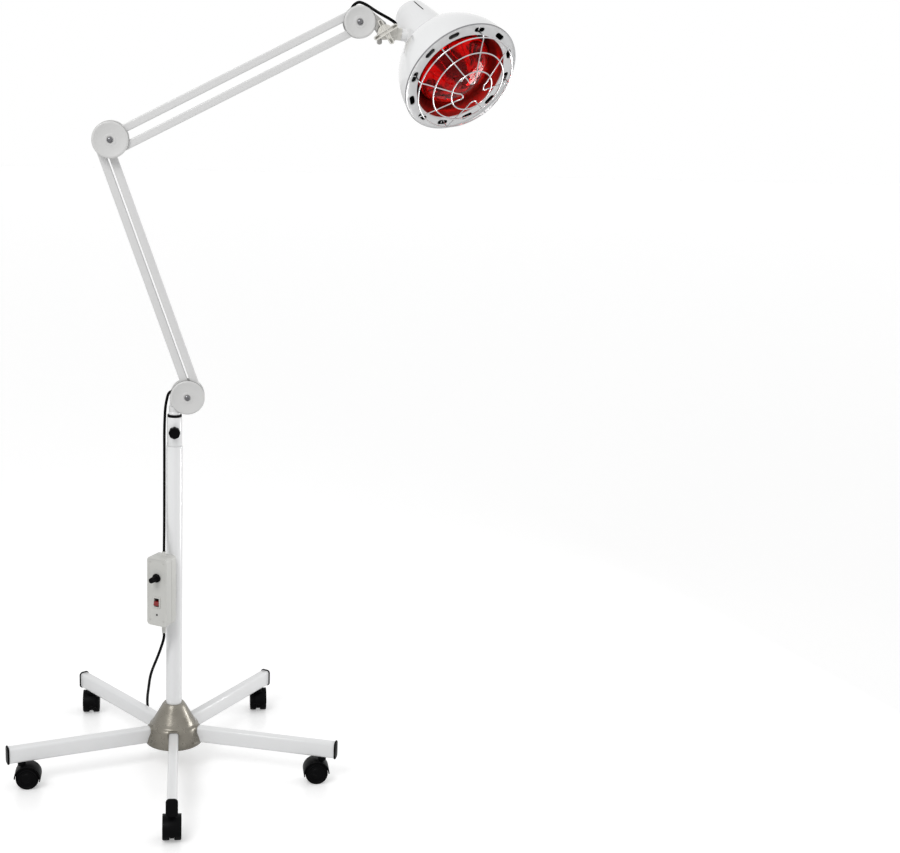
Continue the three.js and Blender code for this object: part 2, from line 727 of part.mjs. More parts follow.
function coverBody(radius, innerY, outerY) {
  const out = Math.sign(outerY - innerY);
  const profile = [
    [BOLT_HOLE, innerY],
    [radius, innerY],
    [radius, outerY - out * COVER_ROUNDING],
    [radius - COVER_ROUNDING, outerY],
    [BOLT_HOLE, outerY],
  ];
  const ordered = out > 0 ? profile : profile.reverse();
  return turnedAlongY(closedLoop(ordered), COVER_SIDES);
}

function boltBody(frontY, backY) {
  const profile = [
    [0, frontY - BOLT_HEAD_HEIGHT],
    [BOLT_CROWN_RADIUS, frontY - BOLT_CROWN_HEIGHT],
    [BOLT_HEAD_RADIUS, frontY - GAP],
    [BOLT_RADIUS, frontY - GAP],
    [BOLT_RADIUS, backY + GAP],
    [BOLT_HEAD_RADIUS, backY + GAP],
    [BOLT_CROWN_RADIUS, backY + BOLT_CROWN_HEIGHT],
    [0, backY + BOLT_HEAD_HEIGHT],
  ];
  return turnedAlongY(profile, BOLT_SIDES);
}

// The room that a round cover takes, for cutting the casting it sits on.
function coverRoom(radius, fromY, toY) {
  return rod('y', radius + GAP, fromY, toY, [0, 0, 0], COVER_SIDES);
}

function boltHole() {
  return rod('y', BOLT_HOLE, -BOLT_HOLE_REACH, BOLT_HOLE_REACH, [0, 0, 0], BOLT_HOLE_SIDES);
}

function pinPlaces(first, pair) {
  return [first, [first[0] + pair[0], first[1] + pair[1]]];
}

function pins(places, fromY, toY) {
  return places.map(([x, z]) => rod('y', PIN_RADIUS, fromY, toY, [x, 0, z], PIN_SIDES));
}

// A bar of square tube along its own X, from pin to pin, open to the back by two lead slots.
function barBody() {
  const core = stadium(BAR_PIN_TO_PIN, BAR_WIDTH / 2 - BAR_EDGE);
  const bar = new THREE.ExtrudeGeometry(core, {
    depth: BAR_DEPTH - 2 * BAR_EDGE,
    bevelThickness: BAR_EDGE,
    bevelSize: BAR_EDGE,
    bevelSegments: 1,
    curveSegments: 4,
  });
  bar.rotateX(Math.PI / 2).translate(0, BAR_DEPTH / 2 - BAR_EDGE, 0);
  const inY = BAR_DEPTH / 2 - BAR_WALL;
  const inZ = BAR_WIDTH / 2 - BAR_WALL;
  const far = BAR_PIN_TO_PIN - BAR_END_SOLID;
  const slot = LEAD_SLOT_WIDTH / 2;
  const nearSlot = BAR_END_SOLID + LEAD_SLOT_SETBACK;
  const farSlot = far - LEAD_SLOT_SETBACK;
  const tools = [
    block([BAR_END_SOLID, -inY, -inZ], [far, inY, inZ]),
    block([nearSlot, 0, -slot], [nearSlot + LEAD_SLOT_LENGTH, BAR_DEPTH, slot]),
    block([farSlot - LEAD_SLOT_LENGTH, 0, -slot], [farSlot, BAR_DEPTH, slot]),
    rod('y', PIN_HOLE, -BAR_DEPTH, BAR_DEPTH, [0, 0, 0], PIN_SIDES),
    rod('y', PIN_HOLE, -BAR_DEPTH, BAR_DEPTH, [BAR_PIN_TO_PIN, 0, 0], PIN_SIDES),
  ];
  return cut(solid(bar), ...tools);
}

function springBody() {
  const inner = SPRING_RADIUS - SPRING_WIRE;
  const start = BAR_END_SOLID + GAP;
  const ring = closedLoop([[inner, start], [SPRING_RADIUS, start],
    [SPRING_RADIUS, start + SPRING_LENGTH], [inner, start + SPRING_LENGTH]]);
  return turned(ring, SCREW_SIDES).rotateY(Math.PI / 2);
}

function addArm(parent, angle, layerY, first, pair, names) {
  pinPlaces(first, pair).forEach(([x, z], index) => {
    const bar = group(parent, x, layerY, z);
    bar.rotation.y = -radians(angle);
    piece(bar, names[index], barBody(), ARM_GREY);
    if (index === 0) piece(bar, names[2], springBody(), STEEL);
  });
}

// Shoulder: the casting stands on the collar and turns on its spigot in the socket.

function shoulderCastingBody(plateBack) {
  const barFace = BAR_DEPTH / 2;
  const foot = [-SHOULDER_OFFSET, -SHOULDER_RISE];
  const tongue = new THREE.Shape();
  tongue.moveTo(...TONGUE_LEFT);
  tongue.lineTo(TONGUE_LEFT[0], TONGUE_LOW_LEFT);
  tongue.lineTo(...TONGUE_LOW_RIGHT);
  tongue.lineTo(SHOULDER_NECK_RADIUS, -SHOULDER_NECK_RADIUS);
  tongue.lineTo(0, SHOULDER_NECK_RADIUS);
  tongue.closePath();
  const footRod = rod('z', FOOT_RADIUS, foot[1], foot[1] + FOOT_HEIGHT, [foot[0], 0, 0], POLE_SIDES);
  const spigotFoot = foot[1] - COLLAR_HEIGHT - SPIGOT_LENGTH;
  const spigot = rod('z', SPIGOT_RADIUS, spigotFoot, foot[1] + WELD, [foot[0], 0, 0], SPIGOT_SIDES);
  const plateRadius = SHOULDER_COVER_RADIUS - PLATE_INSET;
  const plate = rod('y', plateRadius, barFace + GAP, plateBack, [0, 0, 0], COVER_SIDES);
  const places = pinPlaces(SHOULDER_PIN, LOWER_PIN_PAIR);
  let body = join(slab(tongue, -barFace, plateBack), footRod, spigot, plate,
    ...pins(places, -barFace, barFace + GAP + WELD));
  const room = SHOULDER_COVER_RADIUS;
  const reach = BOLT_HOLE_REACH;
  body = cut(body, coverRoom(room, -reach, -barFace), coverRoom(room, plateBack, reach));
  return cut(body, boltHole());
}

function addShoulder() {
  const place = group(lamp, SHOULDER_OFFSET, 0, COLLAR_TOP + GAP + SHOULDER_RISE);
  const barFace = BAR_DEPTH / 2;
  const plateBack = barFace + GAP + PLATE;
  piece(place, 'shoulder_casting', shoulderCastingBody(plateBack), ARM_GREY);
  const frontFace = -barFace - GAP;
  const backFace = plateBack + GAP;
  piece(place, 'shoulder_cover_front',
    coverBody(SHOULDER_COVER_RADIUS, frontFace, frontFace - COVER_THICKNESS), ARM_GREY);
  piece(place, 'shoulder_cover_back',
    coverBody(SHOULDER_COVER_RADIUS, backFace, backFace + COVER_THICKNESS), ARM_GREY);
  const bolt = boltBody(frontFace - COVER_THICKNESS, backFace + COVER_THICKNESS);
  piece(place, 'shoulder_bolt', bolt, CHROME);
  return place;
}

// Elbow: one plate between the lower and the upper pair of bars, with pins cast on both sides.

function addElbow(parent, x, z) {
  const place = group(parent, x, 0, z);
  const barFace = BAR_DEPTH / 2;
  const plateBack = -barFace - GAP;
  const plateFront = plateBack - PLATE;
  const upperFront = -LAYER_STEP - barFace;
  const plateRadius = ELBOW_COVER_RADIUS - PLATE_INSET;
  const plate = rod('y', plateRadius, plateFront, plateBack, [0, 0, 0], COVER_SIDES);
  const boss = rod('y', BOLT_BOSS_RADIUS, upperFront, barFace, [0, 0, 0], BOLT_BOSS_SIDES);
  const lowerPins = pins(pinPlaces(ELBOW_LOWER_PIN, LOWER_PIN_PAIR), plateBack - WELD, barFace);
  const upperPlaces = pinPlaces(ELBOW_UPPER_PIN, UPPER_PIN_PAIR);
  const upperPins = pins(upperPlaces, upperFront, plateFront + WELD);
  const casting = cut(join(plate, boss, ...lowerPins, ...upperPins), boltHole());
  piece(place, 'elbow_casting', casting, ARM_GREY);
  const frontFace = upperFront - GAP;
  const backFace = barFace + GAP;
  piece(place, 'elbow_cover_front',
    coverBody(ELBOW_COVER_RADIUS, frontFace, frontFace - COVER_THICKNESS), ARM_GREY);
  piece(place, 'elbow_cover_back',
    coverBody(ELBOW_COVER_RADIUS, backFace, backFace + COVER_THICKNESS), ARM_GREY);
  const bolt = boltBody(frontFace - COVER_THICKNESS, backFace + COVER_THICKNESS);
  piece(place, 'elbow_bolt', bolt, CHROME);
  return place;
}

// Wrist: the casting carries the upper bars' far ends and half of the tilt joint.

function wristCastingBody(plateFront, plateBack, barFront) {
  const [kneeX, kneeZ] = KNUCKLE_OFFSET;
  const middle = -LAYER_STEP;
  const snout = new THREE.Shape();
  const heading = Math.atan2(kneeZ, kneeX);
  snout.moveTo(0, SNOUT_BOTTOM);
  snout.absarc(kneeX, kneeZ, LUG_RADIUS, heading - Math.PI / 2, heading + Math.PI / 2);
  snout.lineTo(...SNOUT_TOP);
  snout.lineTo(0, SNOUT_TOP[1]);
  snout.closePath();
  const halfThickness = LUG_THICKNESS + GAP / 2;
  const low = middle - halfThickness;
  const high = middle + halfThickness;
  const far = middle - BOLT_HOLE_REACH;
  const split = middle + GAP / 2;
  const plateRadius = WRIST_COVER_RADIUS - PLATE_INSET;
  const plate = rod('y', plateRadius, plateFront, plateBack, [0, 0, 0], COVER_SIDES);
  const boss = rod('y', BOLT_BOSS_RADIUS, barFront, plateFront + WELD, [0, 0, 0], BOLT_BOSS_SIDES);
  const studX = kneeX + LOCK_STUD[0];
  const studZ = kneeZ + LOCK_STUD[1];
  const studFront = middle - LOCK_STUD_PROUD;
  const stud = rod('y', LOCK_STUD_RADIUS, studFront, high, [studX, 0, studZ], LOCK_STUD_SIDES);
  const studWeb = block([studX - LOCK_STUD_RADIUS, split + WELD, studZ],
    [studX + LOCK_STUD_RADIUS, high - WELD, kneeZ]);
  const armPins = pins(pinPlaces(WRIST_PIN, UPPER_PIN_PAIR), barFront, plateFront + WELD);
  const body = join(slab(snout, low, high, 8), plate, boss, stud, studWeb, ...armPins);
  const lugRoom = rod('y', LUG_RADIUS + LUG_RUNNING_GAP, low - OVERCUT, split,
    [kneeX, 0, kneeZ], LUG_SIDES);
  const stemRoom = block([kneeX, low - OVERCUT, kneeZ - 2 * LUG_RADIUS],
    [kneeX + 2 * LUG_RADIUS, split, kneeZ + 2 * LUG_RADIUS]);
  const screwEnd = middle + LUG_THICKNESS - CROSS_SCREW_SHORT;
  return cut(body,
    coverRoom(WRIST_COVER_RADIUS, far, barFront),
    coverRoom(WRIST_COVER_RADIUS, plateBack, LUG_THICKNESS),
    boltHole(),
    lugRoom,
    stemRoom,
    rod('y', CROSS_SCREW_RADIUS + GAP, far, screwEnd, [kneeX, 0, kneeZ], CROSS_SCREW_SIDES));
}

function addWrist(parent, x, z) {
  const place = group(parent, x, 0, z);
  const barFace = BAR_DEPTH / 2;
  const barFront = -LAYER_STEP - barFace;
  const plateFront = -LAYER_STEP + barFace + GAP;
  const plateBack = plateFront + PLATE;
  piece(place, 'wrist_casting', wristCastingBody(plateFront, plateBack, barFront), WHITE_PLASTIC);
  const frontFace = barFront - GAP;
  const backFace = plateBack + GAP;
  piece(place, 'wrist_cover_front',
    coverBody(WRIST_COVER_RADIUS, frontFace, frontFace - COVER_THICKNESS), ARM_GREY);
  piece(place, 'wrist_cover_back',
    coverBody(WRIST_COVER_RADIUS, backFace, backFace + COVER_THICKNESS), ARM_GREY);
  const bolt = boltBody(frontFace - COVER_THICKNESS, backFace + COVER_THICKNESS);
  piece(place, 'wrist_bolt', bolt, CHROME);
  return place;
}

// Tilt joint: knuckle, cross knob and its screw, stem and nut. Its own X runs along the stem.

function knuckleBody() {
  const face = -GAP / 2;
  const front = face - LUG_THICKNESS;
  const lug = rod('y', LUG_RADIUS, front, face, [0, 0, 0], LUG_SIDES);
  const neck = block([0, front, -NECK_BLOCK_HALF], [NECK_BLOCK + WELD, face, NECK_BLOCK_HALF]);
  const couplingEnd = COUPLING_START + COUPLING_LENGTH;
  const coupling = rod('x', COUPLING_RADIUS, COUPLING_START, couplingEnd, [0, 0, 0], COUPLING_SIDES);
  const stem = rod('x', STEM_RADIUS, COUPLING_START, STEM_REACH, [0, 0, 0], STEM_SIDES);
  const boreStart = COUPLING_START + STEM_BORE_FLOOR;
  const leadBore = rod('x', STEM_BORE, boreStart, STEM_REACH + OVERCUT, [0, 0, 0], STEM_BORE_SIDES);
  const hole = CROSS_SCREW_RADIUS + GAP;
  const screwBore = rod('y', hole, front - OVERCUT, OVERCUT, [0, 0, 0], CROSS_SCREW_SIDES);
  return cut(join(lug, neck, coupling, stem), leadBore, screwBore);
}

function crossKnobBody() {
  const face = -GAP / 2 - LUG_THICKNESS - GAP;
  const arms = [CROSS_TURN, CROSS_TURN + 90].map((turn) => {
    const outline = stadium(CROSS_SPAN - CROSS_ARM_WIDTH, CROSS_ARM_WIDTH / 2);
    const arm = slab(outline, face - CROSS_THICKNESS, face, 4);
    return arm.translate(-(CROSS_SPAN - CROSS_ARM_WIDTH) / 2, 0, 0).rotateY(radians(turn));
  });
  const webFront = face - CROSS_THICKNESS + CROSS_WEB_SINK;
  const web = rod('y', CROSS_WEB_RADIUS, webFront, face - CROSS_WEB_BACK, [0, 0, 0], CROSS_WEB_SIDES);
  const end = LUG_THICKNESS - CROSS_SCREW_SHORT - GAP;
  const screw = rod('y', CROSS_SCREW_RADIUS, face - WELD, end, [0, 0, 0], CROSS_SCREW_SIDES);
  return join(arms[0], arms[1], web, screw);
}

function nutBody() {
  const start = COUPLING_START + COUPLING_LENGTH + GAP;
  const corner = NUT_ACROSS_FLATS / 2 / cosine(30);
  const hexagon = rod('x', corner, start, start + NUT_LENGTH, [0, 0, 0], 6);
  const end = start + NUT_LENGTH + OVERCUT;
  const bore = rod('x', STEM_RADIUS + GAP, start - OVERCUT, end, [0, 0, 0], STEM_SIDES);
  return cut(solid(hexagon), bore);
}

// Head: every piece is turned about the head's own Z, which points out of its mouth.

const HEAD_AXIS = [Math.cos(radians(HEAD_AXIS_TO_STEM)), Math.sin(radians(HEAD_AXIS_TO_STEM))];

// The outside of the shade from its mouth back to the neck's end, as [radius, depth].
function shadeOutline(offset) {
  const points = [];
  const start = RING_THICKNESS + GAP;
  for (let step = 0; step <= BODY_STEPS; step += 1) {
    const share = step / BODY_STEPS;
    const swell = RIM_RADIUS - BODY_EDGE_INSET - BODY_END_RADIUS;
    const radius = BODY_END_RADIUS + swell * (1 - share ** 2);
    points.push([radius - offset, start + (BODY_DEPTH - start) * share]);
  }
  const kneeWall = offset * KNEE_WALL_SHARE;
  points.push([BODY_KNEE_RADIUS - kneeWall, BODY_KNEE_DEPTH - kneeWall]);
  points.push([BODY_TOP_RADIUS - offset * TOP_WALL_SHARE, BODY_TOP_DEPTH - offset]);
  points.push([NECK_START_RADIUS + NECK_FILLET_RADIUS - offset, NECK_START_DEPTH - offset]);
  const neckRadius = NECK_START_RADIUS - NECK_FILLET_DRAFT;
  points.push([neckRadius - offset, NECK_START_DEPTH + NECK_FILLET_DEPTH - offset]);
  points.push([NECK_END_RADIUS - offset, NECK_END_DEPTH]);
  for (let step = 1; step <= DOME_STEPS; step += 1) {
    const angle = (90 * step) / DOME_STEPS;
    const reach = HEAD_DEPTH - NECK_END_DEPTH - offset;
    points.push([(NECK_END_RADIUS - offset) * cosine(angle), NECK_END_DEPTH + reach * sine(angle)]);
  }
  return points;
}

function shadeBody() {
  const outside = shadeOutline(0).map(([radius, depth]) => [Math.abs(radius), -depth]);
  const inside = shadeOutline(SHADE_WALL).map(([radius, depth]) => [Math.abs(radius), -depth]);
  outside[outside.length - 1][0] = 0;
  const postFace = -(HEAD_DEPTH - HOLDER_WALL_BEHIND - SHADE_WALL);
  inside.pop();
  const [, innerEnd] = inside[inside.length - 1];
  const postFoot = Math.min(innerEnd, -HEAD_DEPTH + SHADE_WALL + POST_FILLET);
  inside.push([HOLDER_POST_RADIUS, postFoot], [HOLDER_POST_RADIUS, postFace], [0, postFace]);
  return solid(turned([...outside.reverse(), ...inside], HEAD_SIDES));
}

function ringBody() {
  const reflector = [
    [MOUTH_RADIUS, 0],
    [MOUTH_RADIUS - MOUTH_LIP_WIDTH, -MOUTH_LIP_DEPTH],
    [REFLECTOR_WAIST_RADIUS, -REFLECTOR_WAIST_DEPTH],
    [REFLECTOR_END_RADIUS, -REFLECTOR_DEPTH],
  ];
  const behind = reflector.map(([radius, z]) => [radius + RING_THICKNESS, z]).reverse();
  behind[behind.length - 1] = [MOUTH_RADIUS + RING_THICKNESS, -RING_THICKNESS];
  const rim = [
    [RIM_RADIUS - RIM_ROLL, -RING_THICKNESS],
    [RIM_RADIUS, -RING_THICKNESS],
    [RIM_RADIUS, RIM_ROLL / 4],
    [RIM_RADIUS - RIM_ROLL / 2, RIM_ROLL / 2],
    [RIM_RADIUS - RIM_ROLL, 0],
  ];
  let body = solid(turned(closedLoop([...reflector, ...behind, ...rim]), RING_SIDES));
  const straight = RIM_SLOT_LENGTH - RIM_SLOT_WIDTH;
  for (let index = 0; index < RIM_SLOT_COUNT; index += 1) {
    const slot = extrude(stadium(straight, RIM_SLOT_WIDTH / 2), 3 * RING_THICKNESS);
    slot.translate(-straight / 2, 0, -2 * RING_THICKNESS);
    slot.rotateZ(Math.PI / 2).translate(RIM_SLOT_CIRCLE, 0, 0);
    slot.rotateZ(radians(RIM_SLOT_TURN + (360 / RIM_SLOT_COUNT) * index));
    body = cut(body, slot);
  }
  return body;
}

function bulbBody() {
  const widest = -BULB_WIDEST_DEPTH;
  const base = -BULB_BACK;
  const neck = -BULB_NECK_DEPTH;
  const tip = BULB_BASE_RADIUS - BULB_BASE_CHAMFER;
  const outside = [
    [tip, base],
    [BULB_BASE_RADIUS, base + BULB_BASE_CHAMFER_DEPTH],
    [BULB_BASE_RADIUS, neck - BULB_CAP_TAPER],
    [BULB_NECK_RADIUS - BULB_NECK_DRAFT, neck - BULB_NECK_TAPER],
    [BULB_NECK_RADIUS, neck],
    [BULB_CONE_RADIUS, -BULB_CONE_DEPTH],
    [BULB_SHOULDER_RADIUS, -BULB_SHOULDER_DEPTH],
    [BULB_RADIUS, widest],
  ];
  for (let step = 1; step <= BULB_DOME_STEPS; step += 1) {
    const angle = (90 * step) / BULB_DOME_STEPS;
    const radius = step === BULB_DOME_STEPS ? 0 : BULB_RADIUS * cosine(angle);
    outside.push([radius, widest + (BULB_APEX - widest) * sine(angle)]);
  }
  const wall = 2 * BULB_WALL;
  const inside = [
    [0, BULB_APEX - wall],
    [BULB_INNER_DOME_RADIUS, -BULB_INNER_DOME_DEPTH],
    [BULB_RADIUS - wall, widest - BULB_INNER_STEP],
    [BULB_SHOULDER_RADIUS - wall, -BULB_SHOULDER_DEPTH],
    [BULB_NECK_RADIUS - wall, neck + BULB_INNER_STEP],
    [tip - BULB_WALL, neck - BULB_NECK_TAPER],
    [tip - BULB_WALL, base],
  ];
  return turned([...inside, ...outside], BULB_SIDES);
}

function holderBody() {
  const back = -HOLDER_BACK;
  const front = -BULB_NECK_DEPTH - HOLDER_SETBACK;
  const bore = BULB_BASE_RADIUS + GAP;
  return turned([
    [0, back],
    [HOLDER_RADIUS - HOLDER_CHAMFER, back],
    [HOLDER_RADIUS, back + HOLDER_CHAMFER_DEPTH],
    [HOLDER_RADIUS, front],
    [HOLDER_MOUTH_RADIUS, front],
    [bore, front - HOLDER_MOUTH_DEPTH],
    [bore, back + HOLDER_WALL_BEHIND],
    [0, back + HOLDER_WALL_BEHIND],
  ], BULB_SIDES);
}

// Height of the guard's wires in front of the rim, at a radius.
function guardHeight(radius) {
  return GUARD_OUTER_HEIGHT + (GUARD_RING_RADII[0] - radius) * GUARD_SLOPE;
}

function guardBody() {
  const rings = GUARD_RING_RADII.map((radius, index) => {
    const ring = new THREE.TorusGeometry(radius, WIRE_RADIUS, WIRE_SIDES, GUARD_RING_STEPS[index]);
    return ring.translate(0, 0, guardHeight(radius) + GUARD_RING_LIFT);
  });
  const spread = GUARD_PIN_SPREAD / 2;
  const outer = GUARD_RING_RADII[0] + GUARD_PIN_REACH;
  const hookZ = -RING_THICKNESS - GAP - WIRE_RADIUS;
  const tailEnd = RIM_SLOT_CIRCLE + RIM_SLOT_WIDTH / 2 + HOOK_TAIL;
  const hookAt = RIM_SLOT_CIRCLE - RIM_SLOT_WIDTH / 2 + WIRE_RADIUS + GAP;
  const [endU, endV] = [outer * cosine(spread), outer * sine(spread)];
  const [hookU, hookV] = [hookAt * cosine(spread), hookAt * sine(spread)];
  const stretch = 1 + GUARD_TAIL / outer;
  const wires = [];
  for (let index = 0; index < GUARD_PIN_COUNT; index += 1) {
    const middle = GUARD_FIRST_HOOK + (360 / GUARD_PIN_COUNT) * index + spread;
    const points = [];
    const add = (u, v, z) => {
      const x = u * cosine(middle) - v * sine(middle);
      const y = u * sine(middle) + v * cosine(middle);
      points.push([x, y, z]);
    };
    const addRun = (step, side) => {
      const share = step / GUARD_RUN_STEPS;
      const u = endU + (GUARD_TURN_CENTRE - endU) * share;
      const v = endV + (GUARD_TURN_RADIUS - endV) * share;
      add(u, side * v, guardHeight(Math.hypot(u, v)));
    };
    add(hookU, -hookV, hookZ);
    add(hookU, -hookV, HOOK_HEIGHT);
    for (let step = 0; step < GUARD_RUN_STEPS; step += 1) addRun(step, -1);
    for (let step = 0; step <= GUARD_TURN_STEPS; step += 1) {
      const angle = -90 - (180 / GUARD_TURN_STEPS) * step;
      const u = GUARD_TURN_CENTRE + GUARD_TURN_RADIUS * cosine(angle);
      const v = GUARD_TURN_RADIUS * sine(angle);
      add(u, v, guardHeight(Math.hypot(u, v)));
    }
    for (let step = GUARD_RUN_STEPS - 1; step >= 0; step -= 1) addRun(step, 1);
    add(endU * stretch, endV * stretch, guardHeight(outer + GUARD_TAIL));
    const tail = rod('x', WIRE_RADIUS, hookAt - WIRE_RADIUS / 2, tailEnd, [0, 0, hookZ], WIRE_SIDES);
    wires.push(alongPath(points, WIRE_RADIUS, WIRE_SIDES, GUARD_PIN_STEPS));
    wires.push(tail.rotateZ(radians(middle - spread)));
  }
  return join(...rings, ...wires);
}

function addHead(wrist) {
  const [kneeX, kneeZ] = KNUCKLE_OFFSET;
  const joint = group(wrist, kneeX, -LAYER_STEP, kneeZ);
  piece(joint, 'cross_knob', crossKnobBody(), WHITE_PLASTIC);
  const knuckle = group(joint);
  knuckle.rotation.y = -radians(STEM_ANGLE);
  piece(knuckle, 'tilt_knuckle', knuckleBody(), WHITE_PLASTIC);
  // The swivel turns about the stem: at 0 the head's mouth leans down, and at 90 to the front.
  const swivel = group(knuckle);
  swivel.rotation.x = -radians(HEAD_SWIVEL);
  piece(swivel, 'swivel_nut', nutBody(), WHITE_PLASTIC);
  const [alongStem, acrossStem] = HEAD_AXIS;
  const head = group(swivel);
  const shift = HEAD_ATTACH_DEPTH;
  const side = HEAD_ATTACH_RADIUS;
  head.position.set(HEAD_ATTACH_REACH + shift * alongStem + side * acrossStem, 0,
    -(shift * acrossStem - side * alongStem));
  head.rotation.y = Math.PI / 2 + radians(HEAD_AXIS_TO_STEM);
  const boss = headBoss();
  let shade = shadeBody().add(solid(boss.outside));
  shade = cut(shade, boss.bore, ...neckSlots());
  piece(head, 'shade_casing', shade, WHITE_ENAMEL);
  piece(head, 'reflector_ring', ringBody(), WHITE_ENAMEL);
  piece(head, 'lamp_holder', holderBody(), CERAMIC);
  piece(head, 'infrared_bulb', bulbBody(), RUBY_GLASS);
  piece(head, 'wire_guard', guardBody(), CHROME);
}

// The boss on the neck that the stem enters, in the head's own frame.
function headBoss() {
  const start = COUPLING_START + COUPLING_LENGTH + NUT_LENGTH + 2 * GAP - HEAD_ATTACH_REACH;
  const reach = STEM_REACH - HEAD_ATTACH_REACH;
  const place = (geometry) => geometry
    .rotateY(-Math.PI / 2 - radians(HEAD_AXIS_TO_STEM))
    .translate(HEAD_ATTACH_RADIUS, 0, -HEAD_ATTACH_DEPTH);
  return {
    outside: place(rod('x', HEAD_BOSS_RADIUS, start, BOSS_SINK, [0, 0, 0], HEAD_BOSS_SIDES)),
    bore: place(rod('x', STEM_RADIUS + GAP, start - OVERCUT, reach + OVERCUT,
      [0, 0, 0], HEAD_BOSS_BORE_SIDES)),
  };
}

function neckSlots() {
  const slots = [];
  const half = NECK_SLOT_WIDTH / 2;
  const back = -NECK_SLOT_DEPTH - NECK_SLOT_LENGTH;
  for (let index = 0; index < NECK_SLOT_COUNT; index += 1) {
    const slot = block([NECK_END_RADIUS / 2, -half, back], [NECK_START_RADIUS, half, -NECK_SLOT_DEPTH]);
    slots.push(slot.rotateZ(radians(NECK_SLOT_TURN + (360 / NECK_SLOT_COUNT) * index)));
  }
  return slots;
}

// Dimmer box: its own front faces -Y, and a saddle on its back is screwed to the pole.

function boxHalf(outwardY) {
  const depth = BOX_DEPTH / 2 - GAP / 2;
  const [coreWidth, coreHeight] = [BOX_WIDTH - 2 * BOX_EDGE, BOX_HEIGHT - 2 * BOX_EDGE];
  const outline = roundedRectangle(coreWidth, coreHeight, BOX_CORNER - BOX_EDGE);
  const shell = new THREE.ExtrudeGeometry(outline, {
    depth: depth - BOX_EDGE,
    bevelThickness: BOX_EDGE,
    bevelSize: BOX_EDGE,
    bevelSegments: 1,
    curveSegments: 2,
  });
  shell.rotateX(Math.PI / 2).translate(0, depth - BOX_EDGE, 0);
  const [roomWidth, roomHeight] = [BOX_WIDTH - 2 * BOX_WALL, BOX_HEIGHT - 2 * BOX_WALL];
  const open = roundedRectangle(roomWidth, roomHeight, BOX_CORNER - BOX_WALL);
  const inside = slab(open, -BOX_DEPTH, depth - BOX_WALL, 1);
  const trim = block([-BOX_WIDTH, -BOX_DEPTH, -BOX_HEIGHT], [BOX_WIDTH, 0, BOX_HEIGHT]);
  const half = cut(solid(shell), inside, trim);
  const placed = geometryOf(half).translate(0, GAP / 2, 0);
  if (outwardY < 0) placed.rotateZ(Math.PI);
  return solid(placed);
}

function boxFrontBody(dimmerZ, rockerZ, lightZ) {
  const face = -BOX_DEPTH / 2;
  const rimX = ROCKER_WIDTH / 2 + BEZEL_RIM;
  const rimZ = ROCKER_LENGTH / 2 + BEZEL_RIM;
  const bezelFace = face - BEZEL_HEIGHT;
  const bezel = block([-rimX, bezelFace, rockerZ - rimZ], [rimX, face + WELD, rockerZ + rimZ]);
  const lightFace = face - LIGHT_PROUD;
  const light = rod('y', LIGHT_RADIUS, lightFace, face + WELD, [0, 0, lightZ], LIGHT_SIDES);
  const windowX = ROCKER_WIDTH / 2 + GAP;
  const windowZ = ROCKER_LENGTH / 2 + GAP;
  const window = block([-windowX, face - 2 * BEZEL_HEIGHT, rockerZ - windowZ],
    [windowX, face + 2 * BOX_WALL, rockerZ + windowZ]);
  const through = face + 2 * BOX_WALL;
  const shaft = DIMMER_SHAFT_RADIUS + GAP;
  const hole = rod('y', shaft, face - OVERCUT, through, [0, 0, dimmerZ], SCREW_SIDES);
  return cut(boxHalf(-1).add(solid(bezel)).add(solid(light)), window, hole);
}

function boxBackBody() {
  const inner = POLE_RADIUS + GAP;
  const outer = inner + SADDLE_WALL;
  const back = BOX_DEPTH / 2;
  const half = SADDLE_HEIGHT / 2;
  const ring = turned(closedLoop([[inner, -half], [outer, -half], [outer, half], [inner, half]]), POLE_SIDES);
  const webEnd = BOX_STANDOFF - inner - SADDLE_WEB_SHORT;
  const web = block([-SADDLE_WEB_HALF, back - WELD, -half], [SADDLE_WEB_HALF, webEnd, half]);
  const saddleEnd = BOX_STANDOFF - SADDLE_OPEN;
  const farEnd = BOX_STANDOFF + 2 * outer;
  const open = block([-2 * outer, saddleEnd, -SADDLE_HEIGHT], [2 * outer, farEnd, SADDLE_HEIGHT]);
  const low = -BOX_HEIGHT / 2;
  const at = [0, RELIEF_BACK, 0];
  const tip = low - RELIEF_LENGTH;
  const relief = rod('z', RELIEF_TIP_RADIUS, tip, low + WELD, at, RELIEF_SIDES, RELIEF_RADIUS);
  const top = -low + RELIEF_TOP_LENGTH;
  const topRelief = rod('z', RELIEF_RADIUS, -low - WELD, top, at, RELIEF_SIDES, RELIEF_TIP_RADIUS);
  const poleAt = [0, BOX_STANDOFF, 0];
  const poleRoom = rod('z', inner, -SADDLE_HEIGHT, SADDLE_HEIGHT, poleAt, POLE_SIDES);
  const saddle = cut(solid(ring.translate(...poleAt)).add(solid(web)), open, poleRoom);
  return boxHalf(1).add(saddle).add(solid(relief)).add(solid(topRelief));
}

function dimmerBody() {
  const face = -BOX_DEPTH / 2 - GAP;
  const tip = face - DIMMER_LENGTH;
  const skirt = face - DIMMER_SKIRT_HEIGHT;
  return turnedAlongY([
    [0, tip],
    [DIMMER_GRIP_TOP_RADIUS - DIMMER_TIP_CHAMFER, tip],
    [DIMMER_GRIP_TOP_RADIUS, tip + DIMMER_TIP_CHAMFER],
    [DIMMER_GRIP_RADIUS, skirt],
    [DIMMER_SKIRT_RADIUS, skirt + DIMMER_SKIRT_SLOPE],
    [DIMMER_SKIRT_RADIUS, face],
    [DIMMER_SHAFT_RADIUS, face],
    [DIMMER_SHAFT_RADIUS, face + DIMMER_SHAFT_LENGTH],
    [0, face + DIMMER_SHAFT_LENGTH],
  ], DIMMER_SIDES);
}

